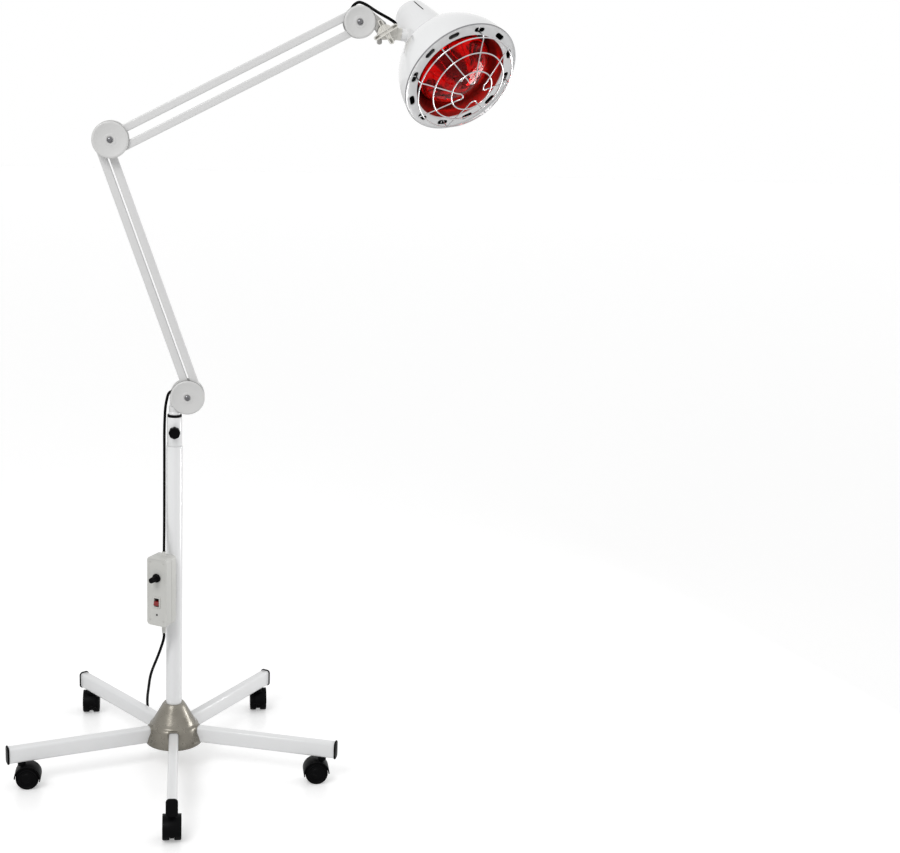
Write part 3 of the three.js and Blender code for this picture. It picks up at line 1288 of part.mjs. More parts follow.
// The rocker narrows inwards, so it clears its window as it tips about its pivot.
function rockerBody() {
  const top = ROCKER_PROUD + ROCKER_DEPTH;
  const face = ROCKER_LENGTH / 2 - ROCKER_FACE_SHORT;
  const foot = ROCKER_LENGTH / 2 - ROCKER_FOOT_SHORT;
  const dip = Math.tan(radians(ROCKER_ANGLE)) * face;
  const shape = new THREE.Shape();
  shape.moveTo(0, -top + dip);
  shape.lineTo(face, -top);
  shape.lineTo(foot, ROCKER_FOOT_DEPTH);
  shape.lineTo(-foot, ROCKER_FOOT_DEPTH);
  shape.lineTo(-face, -top);
  shape.closePath();
  const geometry = extrude(shape, ROCKER_WIDTH);
  return geometry.rotateZ(Math.PI / 2).rotateY(Math.PI / 2).translate(-ROCKER_WIDTH / 2, 0, 0);
}

function addDimmerBox() {
  const [besideX, besideY] = [-BOX_STANDOFF * sine(BOX_YAW), -BOX_STANDOFF * cosine(BOX_YAW)];
  const box = group(lamp, besideX, besideY, BOX_BOTTOM + BOX_HEIGHT / 2);
  box.rotation.z = -radians(BOX_YAW);
  const low = -BOX_HEIGHT / 2;
  const [dimmerZ, rockerZ, lightZ] = [low + DIMMER_HEIGHT, low + ROCKER_HEIGHT, low + LIGHT_HEIGHT];
  piece(box, 'control_box_front', boxFrontBody(dimmerZ, rockerZ, lightZ), BOX_GREY);
  piece(box, 'control_box_back', boxBackBody(), BOX_GREY);
  piece(group(box, 0, 0, dimmerZ), 'dimmer_knob', dimmerBody(), BLACK_PLASTIC);
  const pivot = group(box, 0, -BOX_DEPTH / 2 - BEZEL_HEIGHT + ROCKER_DEPTH, rockerZ);
  pivot.rotation.x = radians(-ROCKER_ANGLE);
  piece(pivot, 'rocker_switch', rockerBody(), ROCKER_RED);
  return box;
}

// Leads and the mains cord

function coilCentres() {
  const [x, y] = COIL_CENTRE;
  const steps = Math.round(COIL_LAYER_TURNS * COIL_STEPS);
  const half = COIL_STEPS / 2;
  const centres = [];
  const low = CORD_RADIUS + COIL_LIFT;
  for (let step = 0; step <= 2 * steps; step += 1) {
    const turns = step / COIL_STEPS;
    const inward = Math.min(turns, 2 * COIL_LAYER_TURNS - turns);
    const radius = COIL_OUTER_RADIUS - COIL_PITCH * inward;
    const climb = THREE.MathUtils.clamp((step - steps + half / 2) / half, 0, 1);
    const angle = COIL_START_ANGLE - 360 * turns;
    const height = low + COIL_PITCH * climb;
    centres.push(new THREE.Vector3(x + radius * cosine(angle), y + radius * sine(angle), height));
  }
  return centres;
}

// The least distance between two stretches of the coil that aren't neighbours, less the cord.
function leastGap(centres) {
  let least = Infinity;
  for (let a = 0; a < centres.length; a += 1) {
    for (let b = a + COIL_STEPS / 2; b < centres.length; b += 1) {
      least = Math.min(least, centres[a].distanceTo(centres[b]));
    }
  }
  return least - 2 * CORD_RADIUS;
}

function addCords(box, shoulder, wrist) {
  lamp.updateMatrixWorld(true);
  const cord = (name, points, steps) => {
    piece(lamp, name, alongPath(points, CORD_RADIUS, CORD_SIDES, steps), CORD_BLACK);
  };
  const half = BOX_HEIGHT / 2;
  const outlet = box.localToWorld(new THREE.Vector3(0, RELIEF_BACK, -half - RELIEF_LENGTH - GAP));
  const inlet = box.localToWorld(new THREE.Vector3(0, RELIEF_BACK, half + RELIEF_TOP_LENGTH + GAP));

  const shoulderPlace = shoulder.getWorldPosition(new THREE.Vector3());
  const besidePole = -POLE_RADIUS - CORD_RADIUS - CORD_STANDOFF;
  cord('shoulder_lead', [
    [shoulderPlace.x - 24, 2, shoulderPlace.z + 10],
    [shoulderPlace.x - 31.5, 2, shoulderPlace.z + 5.5],
    [shoulderPlace.x - 35.3, 2, shoulderPlace.z - 6],
    [shoulderPlace.x - 37.6, 1, shoulderPlace.z - 20],
    [shoulderPlace.x - 38.6, 0, shoulderPlace.z - 36],
    [besidePole, 0, shoulderPlace.z - 62],
    [besidePole, 0, shoulderPlace.z - 90],
    [besidePole, -2, shoulderPlace.z - 180],
    [besidePole, -10, inlet.z + 34],
    [inlet.x, inlet.y, inlet.z + 12],
    [inlet.x, inlet.y, inlet.z],
  ], SHOULDER_LEAD_STEPS);

  const wristPlace = wrist.getWorldPosition(new THREE.Vector3());
  const wristBack = wristPlace.y;
  const kneeX = wristPlace.x + KNUCKLE_OFFSET[0];
  const kneeZ = wristPlace.z + KNUCKLE_OFFSET[1];
  cord('head_lead', [
    [wristPlace.x - 12, wristBack + 3, wristPlace.z + 17],
    [wristPlace.x - 11, wristBack + 3.5, wristPlace.z + 22],
    [wristPlace.x - 8, wristBack + 3, wristPlace.z + 27],
    [wristPlace.x - 1, wristBack, wristPlace.z + 31.5],
    [wristPlace.x + 8, wristBack - 5, wristPlace.z + 29.5],
    [kneeX - 14, wristBack - LAYER_STEP, kneeZ + 32],
    [kneeX + 13, wristBack - LAYER_STEP, kneeZ + 18],
    [kneeX + 17.6, wristBack - LAYER_STEP, kneeZ + 14.2],
    [kneeX + 18.4, wristBack - LAYER_STEP, kneeZ + 11],
  ], HEAD_LEAD_STEPS);

  const centres = coilCentres();
  const start = centres[0];
  cord('mains_cord', [
    [outlet.x, outlet.y, outlet.z],
    [outlet.x, outlet.y, outlet.z - 8],
    [outlet.x - 8, outlet.y + 12, outlet.z - 40],
    [-41, 14, 168],
    [-47, 52, 122],
    [-50, 85, 88],
    [-50, 97, 70],
    [-47, 109, 44],
    [-40, 124, 20],
    [start.x - 1, start.y - 28, start.z + 3],
    [start.x, start.y - 12, start.z],
    [start.x, start.y - COIL_LEAD_IN - GAP, start.z],
  ], MAINS_STEPS);

  const finish = centres[centres.length - 1];
  const plugEntry = PLUG_Y - PLUG_TAIL;
  const tail = new THREE.CubicBezierCurve3(
    finish,
    new THREE.Vector3(finish.x, finish.y + COIL_TAIL_OUT, finish.z),
    new THREE.Vector3(PLUG_X, plugEntry - COIL_TAIL_IN, finish.z),
    new THREE.Vector3(PLUG_X, plugEntry - GAP - COIL_TAIL_END, finish.z),
  );
  const tailPoints = tail.getPoints(COIL_TAIL_STEPS).slice(1);
  const lead = new THREE.Vector3(start.x, start.y - COIL_LEAD_IN, start.z);
  const end = new THREE.Vector3(PLUG_X, plugEntry - GAP, finish.z);
  const whole = [lead, ...centres, ...tailPoints, end];
  piece(lamp, 'mains_coil', windTube(whole, CORD_RADIUS, COIL_SIDES), CORD_BLACK);
  console.log('least gap between the coil\'s turns, mm:', leastGap(centres).toFixed(2));

  const plug = group(lamp, PLUG_X, PLUG_Y, finish.z);
  const section = roundedRectangle(PLUG_WIDTH, PLUG_THICKNESS, PLUG_CORNER);
  const body = extrude(section, PLUG_LENGTH, 2).rotateX(-Math.PI / 2);
  const neck = rod('y', PLUG_TAIL_RADIUS - 1, -PLUG_TAIL, WELD, [0, 0, 0], SCREW_SIDES, PLUG_TAIL_RADIUS);
  const blades = [-1, 1].map((sideSign) => block(
    [(sideSign * BLADE_SPACING - BLADE_THICKNESS) / 2, PLUG_LENGTH - WELD, -BLADE_WIDTH / 2],
    [(sideSign * BLADE_SPACING + BLADE_THICKNESS) / 2, PLUG_LENGTH + BLADE_LENGTH, BLADE_WIDTH / 2],
  ));
  piece(plug, 'mains_plug', join(body, neck, ...blades), BLACK_PLASTIC);
}

// Assembly

addBase();
addPole();
const shoulder = addShoulder();
addArm(shoulder, LOWER_ARM_ANGLE, 0, SHOULDER_PIN, LOWER_PIN_PAIR,
  ['lower_arm_bar_left', 'lower_arm_bar_right', 'lower_arm_spring']);
const elbow = addElbow(shoulder,
  SHOULDER_PIN[0] + BAR_PIN_TO_PIN * cosine(LOWER_ARM_ANGLE) - ELBOW_LOWER_PIN[0],
  SHOULDER_PIN[1] + BAR_PIN_TO_PIN * sine(LOWER_ARM_ANGLE) - ELBOW_LOWER_PIN[1]);
addArm(elbow, UPPER_ARM_ANGLE, -LAYER_STEP, ELBOW_UPPER_PIN, UPPER_PIN_PAIR,
  ['upper_arm_bar_top', 'upper_arm_bar_bottom', 'upper_arm_spring']);
const wrist = addWrist(elbow,
  ELBOW_UPPER_PIN[0] + BAR_PIN_TO_PIN * cosine(UPPER_ARM_ANGLE) - WRIST_PIN[0],
  ELBOW_UPPER_PIN[1] + BAR_PIN_TO_PIN * sine(UPPER_ARM_ANGLE) - WRIST_PIN[1]);
addHead(wrist);
const dimmerBox = addDimmerBox();
addCords(dimmerBox, shoulder, wrist);

// The frame's origin is under the middle of the lamp's box, measured without the mains cord.
const stand = new THREE.Box3();
lamp.updateMatrixWorld(true);
lamp.traverse((object) => {
  if (object.isMesh && !object.name.startsWith('mains')) stand.expandByObject(object, true);
});
const middle = stand.getCenter(new THREE.Vector3());
const placed = new THREE.Group();
placed.add(lamp);
lamp.position.set(-middle.x, -middle.y, -stand.min.z);

export default placed;
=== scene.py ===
import json
import math

import bmesh
import bpy
from mathutils import Matrix, Vector


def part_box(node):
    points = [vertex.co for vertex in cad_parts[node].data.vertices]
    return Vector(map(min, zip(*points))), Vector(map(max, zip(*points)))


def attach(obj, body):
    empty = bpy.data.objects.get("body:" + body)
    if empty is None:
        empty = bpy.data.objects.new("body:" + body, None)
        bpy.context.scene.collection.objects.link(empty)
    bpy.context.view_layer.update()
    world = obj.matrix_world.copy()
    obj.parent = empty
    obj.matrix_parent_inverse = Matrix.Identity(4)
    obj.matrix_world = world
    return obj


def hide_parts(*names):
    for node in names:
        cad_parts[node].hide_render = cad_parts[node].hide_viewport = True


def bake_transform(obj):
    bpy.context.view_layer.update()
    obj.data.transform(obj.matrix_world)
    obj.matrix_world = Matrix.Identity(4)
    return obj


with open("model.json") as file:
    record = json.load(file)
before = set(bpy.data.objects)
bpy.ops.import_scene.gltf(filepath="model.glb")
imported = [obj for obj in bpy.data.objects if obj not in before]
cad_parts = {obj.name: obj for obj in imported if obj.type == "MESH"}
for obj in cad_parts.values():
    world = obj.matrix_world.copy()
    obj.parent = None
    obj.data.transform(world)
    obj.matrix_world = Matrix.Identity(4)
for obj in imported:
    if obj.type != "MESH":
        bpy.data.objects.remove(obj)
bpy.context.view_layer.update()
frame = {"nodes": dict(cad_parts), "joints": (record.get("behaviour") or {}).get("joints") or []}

# The lamp is photographed from in front and from just below its wrist, standing in the left
# half of the picture. The camera looks a little to its right and down, with a slight roll.
eye = bpy.data.objects.new("eye", bpy.data.cameras.new("eye"))
bpy.context.scene.collection.objects.link(eye)
eye.data.lens = 62.205
eye.data.shift_x = 0.1111
eye.data.clip_start = 0.05
eye.data.clip_end = 80
eye.matrix_world = (
    Matrix.Translation((-0.10206, -2.60223, 1.25396))
    @ Matrix.Rotation(math.radians(-6.016), 4, "Z")
    @ Matrix.Rotation(math.radians(90 - 13.3), 4, "X")
    @ Matrix.Rotation(math.radians(1.654), 4, "Z")
)
bpy.context.scene.camera = eye
bpy.context.scene.view_settings.view_transform = "Standard"

# The mains cord is a round black rubber-skinned lead, five millimetres thick. It leaves the
# dimmer box, sways behind the pole down to the floor and is wound in two layers behind the hub.
pole_low, pole_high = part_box("pole_tube")
pole_x, pole_y = (pole_low.x + pole_high.x) / 2, (pole_low.y + pole_high.y) / 2
cord_thickness = 0.005


def smooth_route(points, share=3):
    """A centripetal curve through the points, with some more points between each two."""
    points = [Vector(p) for p in points]
    ends = [points[0] * 2 - points[1]] + points + [points[-1] * 2 - points[-2]]
    route = []
    for a, b, c, d in zip(ends, ends[1:], ends[2:], ends[3:]):
        t1 = (b - a).length ** 0.5
        t2 = t1 + (c - b).length ** 0.5
        t3 = t2 + (d - c).length ** 0.5
        for step in range(share):
            t = t1 + (t2 - t1) * step / share
            ab = a * ((t1 - t) / t1) + b * (t / t1)
            bc = b * ((t2 - t) / (t2 - t1)) + c * ((t - t1) / (t2 - t1))
            cd = c * ((t3 - t) / (t3 - t2)) + d * ((t - t2) / (t3 - t2))
            abc = ab * ((t2 - t) / t2) + bc * (t / t2)
            bcd = bc * ((t3 - t) / (t3 - t1)) + cd * ((t - t1) / (t3 - t1))
            route.append(abc * ((t2 - t) / (t2 - t1)) + bcd * ((t - t1) / (t2 - t1)))
    return route + [points[-1]]


def lead(name, route, radius):
    """A round lead along a route, as a curve with a round section."""
    line = bpy.data.curves.new(name, "CURVE")
    line.dimensions = "3D"
    line.bevel_depth = radius
    line.bevel_resolution = 4
    line.resolution_u = 3
    line.use_fill_caps = True
    spline = line.splines.new("BEZIER")
    spline.bezier_points.add(len(route) - 1)
    for knot, place in zip(spline.bezier_points, route):
        knot.co = place
        knot.handle_left_type = knot.handle_right_type = "AUTO"
    piece = bpy.data.objects.new(name, line)
    bpy.context.scene.collection.objects.link(piece)
    return piece


box_turn, box_reach, outlet_depth = math.radians(32), 0.04, 0.007
box_x = pole_x - box_reach * math.sin(box_turn)
box_y = pole_y - box_reach * math.cos(box_turn)
outlet_x = box_x + outlet_depth * math.sin(box_turn)
outlet_y = box_y + outlet_depth * math.cos(box_turn)
coil_x, coil_y, coil_reach = pole_x, pole_y + 0.172, 0.035
rounds, round_steps, pitch, lying = 6, 24, 0.0057, 0.0028
drop = [(outlet_x, outlet_y, 0.2607), (outlet_x, outlet_y, 0.2527),
        (outlet_x - 0.008, outlet_y + 0.012, 0.2207)]
drop += [(pole_x + x, pole_y + y, z) for x, y, z in (
    (-0.041, 0.014, 0.168), (-0.047, 0.052, 0.122), (-0.05, 0.085, 0.088),
    (-0.05, 0.097, 0.07), (-0.047, 0.109, 0.044), (-0.04, 0.124, 0.02),
    (-0.036, 0.144, 0.0058), (-coil_reach, 0.16, lying), (-coil_reach, 0.1707, lying))]
coil = []
for step in range(rounds * round_steps + 1):
    turns = step / round_steps
    reach = coil_reach - pitch * min(turns, rounds - turns)
    climb = min(max((step - rounds * round_steps / 2 + 6) / 12, 0), 1)
    angle = math.radians(180 - 360 * turns)
    coil.append(Vector((coil_x + reach * math.cos(angle), coil_y + reach * math.sin(angle),
                        lying + pitch * climb)))
plug_x, plug_y, plug_z = pole_x - 0.006, pole_y + 0.224, 0.0085
tail = []
corners = [coil[-1], coil[-1] + Vector((0, 0.022, 0)),
           Vector((plug_x, plug_y - 0.031, plug_z)), Vector((plug_x, plug_y - 0.0153, plug_z))]
for step in range(1, 10):
    t = step / 9
    tail.append(corners[0] * (1 - t) ** 3 + corners[1] * 3 * t * (1 - t) ** 2
                + corners[2] * 3 * t * t * (1 - t) + corners[3] * t ** 3)
tail.append(Vector((plug_x, plug_y - 0.0113, plug_z)))
mains_route = smooth_route(drop)[:-1] + coil + tail
mains_lead = lead("mains_lead", mains_route, cord_thickness / 2)


def nodes_of(tree):
    """Gives a function that adds a node to a tree, with its settings."""
    return lambda kind, **values: set_up(tree.nodes.new(kind), values)


def set_up(node, values):
    """Sets a node's own settings and the numbers on its sockets."""
    for key, value in values.items():
        if hasattr(node, key):
            setattr(node, key, value)
        else:
            node.inputs[key.replace("_", " ")].default_value = value
    return node


# The shared effect gives a slow change of tone, a change of gloss and a fine height.
handled_surface = bpy.data.node_groups.new("handled surface", "ShaderNodeTree")
for way, names in (
        ("INPUT", ("Colour", "Tone", "Patch Scale", "Gloss", "Gloss Spread", "Grain Scale")),
        ("OUTPUT", ("Colour", "Roughness", "Height"))):
    for name in names:
        kind = "NodeSocketColor" if name == "Colour" else "NodeSocketFloat"
        handled_surface.interface.new_socket(name, in_out=way, socket_type=kind)
add, link = nodes_of(handled_surface), handled_surface.links.new
given, out = add("NodeGroupInput").outputs, add("NodeGroupOutput").inputs
where = add("ShaderNodeTexCoord").outputs["Object"]
patches = add("ShaderNodeTexNoise", Detail=3.0, Roughness=0.55)
grain = add("ShaderNodeTexNoise", Detail=2.0)
smears = add("ShaderNodeTexNoise", Detail=4.0, Distortion=0.6)
finer = add("ShaderNodeMath", operation="MULTIPLY")
finer.inputs[1].default_value = 2.7
link(given["Patch Scale"], finer.inputs[0])
for noise, scale in ((patches, given["Patch Scale"]), (grain, given["Grain Scale"]),
                     (smears, finer.outputs[0])):
    link(where, noise.inputs["Vector"])
    link(scale, noise.inputs["Scale"])
wear = add("ShaderNodeMath", operation="MULTIPLY")
link(patches.outputs["Fac"], wear.inputs[0])
link(given["Tone"], wear.inputs[1])
darker = add("ShaderNodeMix", data_type="RGBA", blend_type="MULTIPLY")
link(wear.outputs[0], darker.inputs["Factor"])
link(given["Colour"], darker.inputs[6])
darker.inputs[7].default_value = (0.35, 0.34, 0.31, 1)
link(darker.outputs[2], out["Colour"])
middle = add("ShaderNodeMath", operation="SUBTRACT")
middle.inputs[1].default_value = 0.5
link(smears.outputs["Fac"], middle.inputs[0])
gloss = add("ShaderNodeMath", operation="MULTIPLY_ADD", use_clamp=True)
link(middle.outputs[0], gloss.inputs[0])
link(given["Gloss Spread"], gloss.inputs[1])
link(given["Gloss"], gloss.inputs[2])
link(gloss.outputs[0], out["Roughness"])
link(grain.outputs["Fac"], out["Height"])


def surface(name, depth, **values):
    """A material with the shared effect on its colour and normal, its shader and the effect."""
    made = bpy.data.materials.new(name)
    made.use_nodes = True
    add, link = nodes_of(made.node_tree), made.node_tree.links.new
    shader = made.node_tree.nodes["Principled BSDF"]
    effect = add("ShaderNodeGroup", node_tree=handled_surface, **values)
    bump = add("ShaderNodeBump", Distance=depth)
    link(effect.outputs["Colour"], shader.inputs["Base Color"])
    link(effect.outputs["Height"], bump.inputs["Height"])
    link(bump.outputs["Normal"], shader.inputs["Normal"])
    return made, shader, effect


def finish(name, colour, gloss, tone=0.12, patch=9.0, spread=0.12, grain=900.0, depth=0.00003,
           metal=0.0, coat=0.0, shine=0.5):
    """A material of the plain kind: a tone that wanders a little, uneven gloss and a fine grain."""
    made, shader, effect = surface(name, depth, Colour=(*colour, 1), Tone=tone, Patch_Scale=patch,
                                   Gloss=gloss, Gloss_Spread=spread, Grain_Scale=grain)
    made.node_tree.links.new(effect.outputs["Roughness"], shader.inputs["Roughness"])
    set_up(shader, {"Metallic": metal, "Coat Weight": coat, "Coat Roughness": 0.06,
                    "Specular IOR Level": shine})
    return made


rubber = finish("cord_rubber", (0.0025, 0.0025, 0.003), 0.5, tone=0.4, patch=30, grain=2500,
                depth=0.00006, shine=0.05)


def fit(piece, material, slot, body, *nodes):
    """Gives a finished piece its material and its body, and hides the CAD nodes that it stands for.
    """
    piece.data.materials.clear()
    piece.data.materials.append(material)
    if body:
        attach(piece, body)
    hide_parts(*nodes)


fit(mains_lead, rubber, "cord_black", "stand", "mains_cord", "mains_coil")

# The plug is one block of black rubber moulded round two flat blades. Its sides are waisted
# for the fingers, and a ribbed sleeve holds the lead.
def only(piece):
    """Makes a piece the active one and the only one selected."""
    bpy.ops.object.select_all(action="DESELECT")
    bpy.context.view_layer.objects.active = piece
    piece.select_set(True)


def begin(name, add, **place):
    """Adds a primitive with nothing else selected, names it and opens it for editing."""
    bpy.ops.object.select_all(action="DESELECT")
    add(**place)
    bpy.ops.object.transform_apply()
    piece = bpy.context.object
    piece.name = name
    bpy.ops.object.mode_set(mode="EDIT")
    return piece


def pick(test):
    """Selects the faces whose middle and direction pass a test."""
    bpy.ops.mesh.select_mode(type="FACE")
    bpy.ops.mesh.select_all(action="DESELECT")
    for face in bmesh.from_edit_mesh(bpy.context.object.data).faces:
        if test(face.calc_center_median(), face.normal):
            face.select_set(True)
    bmesh.update_edit_mesh(bpy.context.object.data)


def push(x, y, z):
    """Extrudes what is selected and moves it."""
    bpy.ops.mesh.extrude_region_move(TRANSFORM_OT_translate={"value": (x, y, z)})


def pick_end(side):
    """Selects the flat end that looks forward (-1) or backward (1) along Y."""
    pick(lambda middle, way: way.y * side > 0.9)


def inset_end(side, inset, depth):
    """Insets a flat end and moves what is inside the inset along Y."""
    pick_end(side)
    bpy.ops.mesh.inset(thickness=inset)
    push(0, depth, 0)


def close(piece, rounding=0.0, steps=2, smooth=40, place=None):
    """Leaves edit mode, rounds the sharp edges, shades the piece smooth and puts it in place."""
    bpy.ops.object.mode_set(mode="OBJECT")
    only(piece)
    if rounding:
        bevel = piece.modifiers.new("rounding", "BEVEL")
        bevel.width = rounding
        bevel.segments = steps
        bevel.limit_method = "ANGLE"
        bevel.angle_limit = math.radians(35)
        bpy.ops.object.modifier_apply(modifier=bevel.name)
    bpy.ops.object.shade_smooth_by_angle(angle=math.radians(smooth))
    if place is not None:
        piece.data.transform(place)
    return piece


def pick_all():
    bpy.ops.mesh.select_all(action="SELECT")


def face_out(piece):
    """Turns every face of the piece in hand to the outside."""
    pick_all()
    bpy.ops.mesh.normals_make_consistent(inside=False)
    return piece


def trace(name, points):
    """Draws a line of edges from point to point, starting with a single corner."""
    piece = begin(name, bpy.ops.mesh.primitive_plane_add, size=0.01)
    bpy.ops.mesh.select_mode(type="VERT")
    pick_all()
    bpy.ops.mesh.merge(type="CENTER")
    bpy.ops.transform.translate(value=points[0])
    for before, after in zip(points, points[1:]):
        push(*(b - a for a, b in zip(before, after)))
    pick_all()
    return piece


def turned(name, profile, sides=64):
    """Spins a profile of radius and height about the upright axis."""
    piece = trace(name, [(radius, 0, height) for radius, height in profile])
    bpy.ops.mesh.spin(steps=sides, angle=2 * math.pi, center=(0, 0, 0), axis=(0, 0, 1))
    pick_all()
    bpy.ops.mesh.remove_doubles(threshold=0.000002)
    return face_out(piece)


def plate(name, outline, low, high):
    """Fills an outline in X and Z and gives it depth in Y."""
    piece = trace(name, [(x, low, z) for x, z in outline])
    bpy.ops.mesh.edge_face_add()
    push(0, high - low, 0)
    return face_out(piece)


def arc(x, z, radius, start, end, steps):
    """Points along part of a circle, with its angles in degrees."""
    angles = [math.radians(start + (end - start) * step / steps) for step in range(steps + 1)]
    return [(x + radius * math.cos(a), z + radius * math.sin(a)) for a in angles]


def circle(x, z, radius, steps):
    return arc(x, z, radius, 0, 360, steps)[:-1]


def polar(radius, degrees):
    return radius * math.cos(math.radians(degrees)), radius * math.sin(math.radians(degrees))


def rounded(width, height, corner, steps=5):
    """A rectangle with round corners, about its own middle."""
    x, z = width / 2 - corner, height / 2 - corner
    return (arc(x, z, corner, 0, 90, steps) + arc(-x, z, corner, 90, 180, steps)
            + arc(-x, -z, corner, 180, 270, steps) + arc(x, -z, corner, 270, 360, steps))


def combine(piece, tool, way="DIFFERENCE"):
    """Cuts a tool from a piece, or welds it on, and takes the tool away."""
    only(piece)
    change = piece.modifiers.new("joint", "BOOLEAN")
    change.object = tool
    change.operation = way
    bpy.ops.object.modifier_apply(modifier=change.name)
    bpy.data.objects.remove(tool)
    return piece


def weld(piece, tool):
    return combine(piece, tool, "UNION")


def shift(x, y, z):
    return Matrix.Translation((x, y, z))


def spin(axis, degrees):
    return Matrix.Rotation(math.radians(degrees), 4, axis)


black_plastic = finish("moulded_black", (0.003, 0.003, 0.0035), 0.4, tone=0.4, patch=22,
                       grain=1400, depth=0.00006, shine=0.05)
bare_steel = finish("bright_steel", (0.62, 0.61, 0.59), 0.28, tone=0.25, metal=1.0, grain=700)
plug = plate("mains_plug_body", rounded(0.022, 0.015, 0.004), 0, 0.03)
inset_end(1, 0.0016, 0.0008)
close(plug, 0.0008)
for side in (-1, 1):
    finger = plate("grip", circle(0, 0.013, 0.011, 40), -0.02, 0.02)
    combine(plug, close(finger, place=shift(side * 0.0195, 0, 0) @ spin("X", 90)))
sleeve_profile = [(0.0, -0.011), (0.0034, -0.011)]
for rib in range(4):
    low, wide, narrow = -0.0102 + rib * 0.0026, 0.0036 + rib * 0.0002, 0.003 + rib * 0.0002
    sleeve_profile += [(wide, low), (wide, low + 0.0013), (narrow, low + 0.0015),
                       (narrow, low + 0.0024)]
sleeve_profile += [(0.0044, 0.0004), (0.0, 0.0004)]
weld(plug, close(turned("sleeve", sleeve_profile, 32), place=spin("X", -90)))
close(plug, place=shift(plug_x, plug_y, plug_z))
fit(plug, black_plastic, "black_plastic", "stand", "mains_plug")
for side in (-1, 1):
    blade = plate(f"plug_blade_{'left' if side < 0 else 'right'}",
                  rounded(0.0015, 0.0063, 0.0004, 3), 0.0285, 0.047)
    pick_end(1)
    bpy.ops.transform.resize(value=(0.5, 1, 0.8))
    close(blade, 0.0002, place=shift(plug_x + side * 0.00635, plug_y, plug_z))
    fit(blade, bare_steel, "steel", "stand")

# The hub is a bell of grey-brown coated die casting. The pole stands in its neck, and each
# leg is pushed into a round-cornered sleeve that stands a little out of the bell.
hub_coat = finish("hub_coat", (0.3, 0.28, 0.24), 0.3, tone=0.9, patch=34, spread=0.3,
                  grain=500, depth=0.00014, metal=0.55, coat=0.2)
hub_foot, hub_height, leg_middle = 0.044, 0.074, 0.0625
bell_line = [(0.0, 0.0), (0.046, 0.0), (0.0512, 0.0012), (0.0528, 0.004), (0.0524, 0.009),
             (0.0504, 0.016), (0.0474, 0.023), (0.0448, 0.029), (0.0432, 0.0335), (0.0412, 0.035),
             (0.0396, 0.0362), (0.0388, 0.0385), (0.0354, 0.0442), (0.0304, 0.0528),
             (0.0258, 0.061), (0.0216, 0.0688), (0.0192, 0.0724), (0.0176, hub_height),
             (0.0145, hub_height), (0.0145, 0.005), (0.0, 0.005)]
hub = close(turned("hub_bell", [(radius, hub_foot + height) for radius, height in bell_line], 100))
leg_turns = [math.radians(-90 + 72 * number) for number in range(5)]
leg_places = [shift(0, 0, leg_middle) @ Matrix.Rotation(turn - math.pi / 2, 4, "Z")
              for turn in leg_turns]
for along in leg_places:
    sleeve = plate("sleeve", rounded(0.0226, 0.0336, 0.008), 0.028, 0.0462)
    weld(hub, close(sleeve, 0.0008, place=along))
for along in leg_places:
    tunnel = plate("tunnel", rounded(0.0178, 0.0298, 0.0048), 0.0236, 0.06)
    combine(hub, close(tunnel, place=along))
at_pole = shift(pole_x, pole_y, 0)
close(hub, 0.0005, 2, 35, at_pole)
fit(hub, hub_coat, "hub_finish", "stand", "base_hub")

# The five legs are straight rectangular steel tube, white powder coated. Each open end is shut
# by a black moulded plug with a thin round-cornered head.
white_enamel = finish("white_enamel", (0.82, 0.825, 0.83), 0.3, tone=0.06, patch=7, spread=0.1,
                      grain=380, depth=0.00005, coat=0.35)
leg = plate("leg", rounded(0.017, 0.029, 0.0045), 0.024, 0.2987)
inset_end(-1, 0.0015, 0.012)
inset_end(1, 0.0015, -0.0095)
close(leg, 0.0003)
cap = plate("cap", rounded(0.0202, 0.0322, 0.0062), 0.299, 0.3012)
pick_end(1)
push(0, 0.0008, 0)
bpy.ops.transform.resize(value=(0.9, 1, 0.93))
inset_end(-1, 0.0034, -0.009)
close(cap, 0.0005)


def another(piece, name, place):
    """A copy of a piece with its own mesh, put in another place."""
    twin = piece.copy()
    twin.data = piece.data.copy()
    twin.name = name
    bpy.context.scene.collection.objects.link(twin)
    twin.data.transform(place)
    return twin


for number, along in enumerate(leg_places, 1):
    fit(another(leg, f"leg_tube_{number}", at_pole @ along), white_enamel, "white_enamel",
        "stand", f"leg_{number}")
    fit(another(cap, f"leg_plug_{number}", at_pole @ along), black_plastic, "black_plastic",
        "stand", f"leg_cap_{number}")
bpy.data.objects.remove(leg)
bpy.data.objects.remove(cap)

# Each caster has two black wheels. One moulded hood covers both, its web reaches down between
# them, and its stem turns in the leg. Each stands turned as in the picture.
caster_reach, axle_height, trail = 0.276, 0.02, 0.01
hood = begin("hood", bpy.ops.mesh.primitive_cylinder_add, vertices=72, radius=0.0229,
             depth=0.0312, end_fill_type="NOTHING", rotation=(math.pi / 2, 0, 0))
pick(lambda middle, way: 196 < math.degrees(math.atan2(middle.z, middle.x)) % 360 < 364)
bpy.ops.mesh.delete(type="FACE")
bpy.ops.object.mode_set(mode="OBJECT")
wall = hood.modifiers.new("wall", "SOLIDIFY")
wall.thickness = 0.0021
wall.offset = -1
bpy.ops.object.modifier_apply(modifier=wall.name)
close(hood, 0.0005)
web = plate("web", arc(0, 0, 0.0214, 5, 195, 38) + arc(0, 0, 0.0172, 208, 340, 22),
            -0.0034, 0.0034)
weld(hood, close(web))
stem = turned("stem", [(0, 0.0203), (0.0038, 0.0203), (0.004, 0.0209), (0.0067, 0.021),
                       (0.007, 0.0213), (0.007, 0.0271), (0.0064, 0.0276), (0.004, 0.0276),
                       (0.004, 0.044), (0.003, 0.047), (0.0, 0.047)], 40)
weld(hood, close(stem, place=shift(trail, 0, 0)))
close(hood, 0.0003)
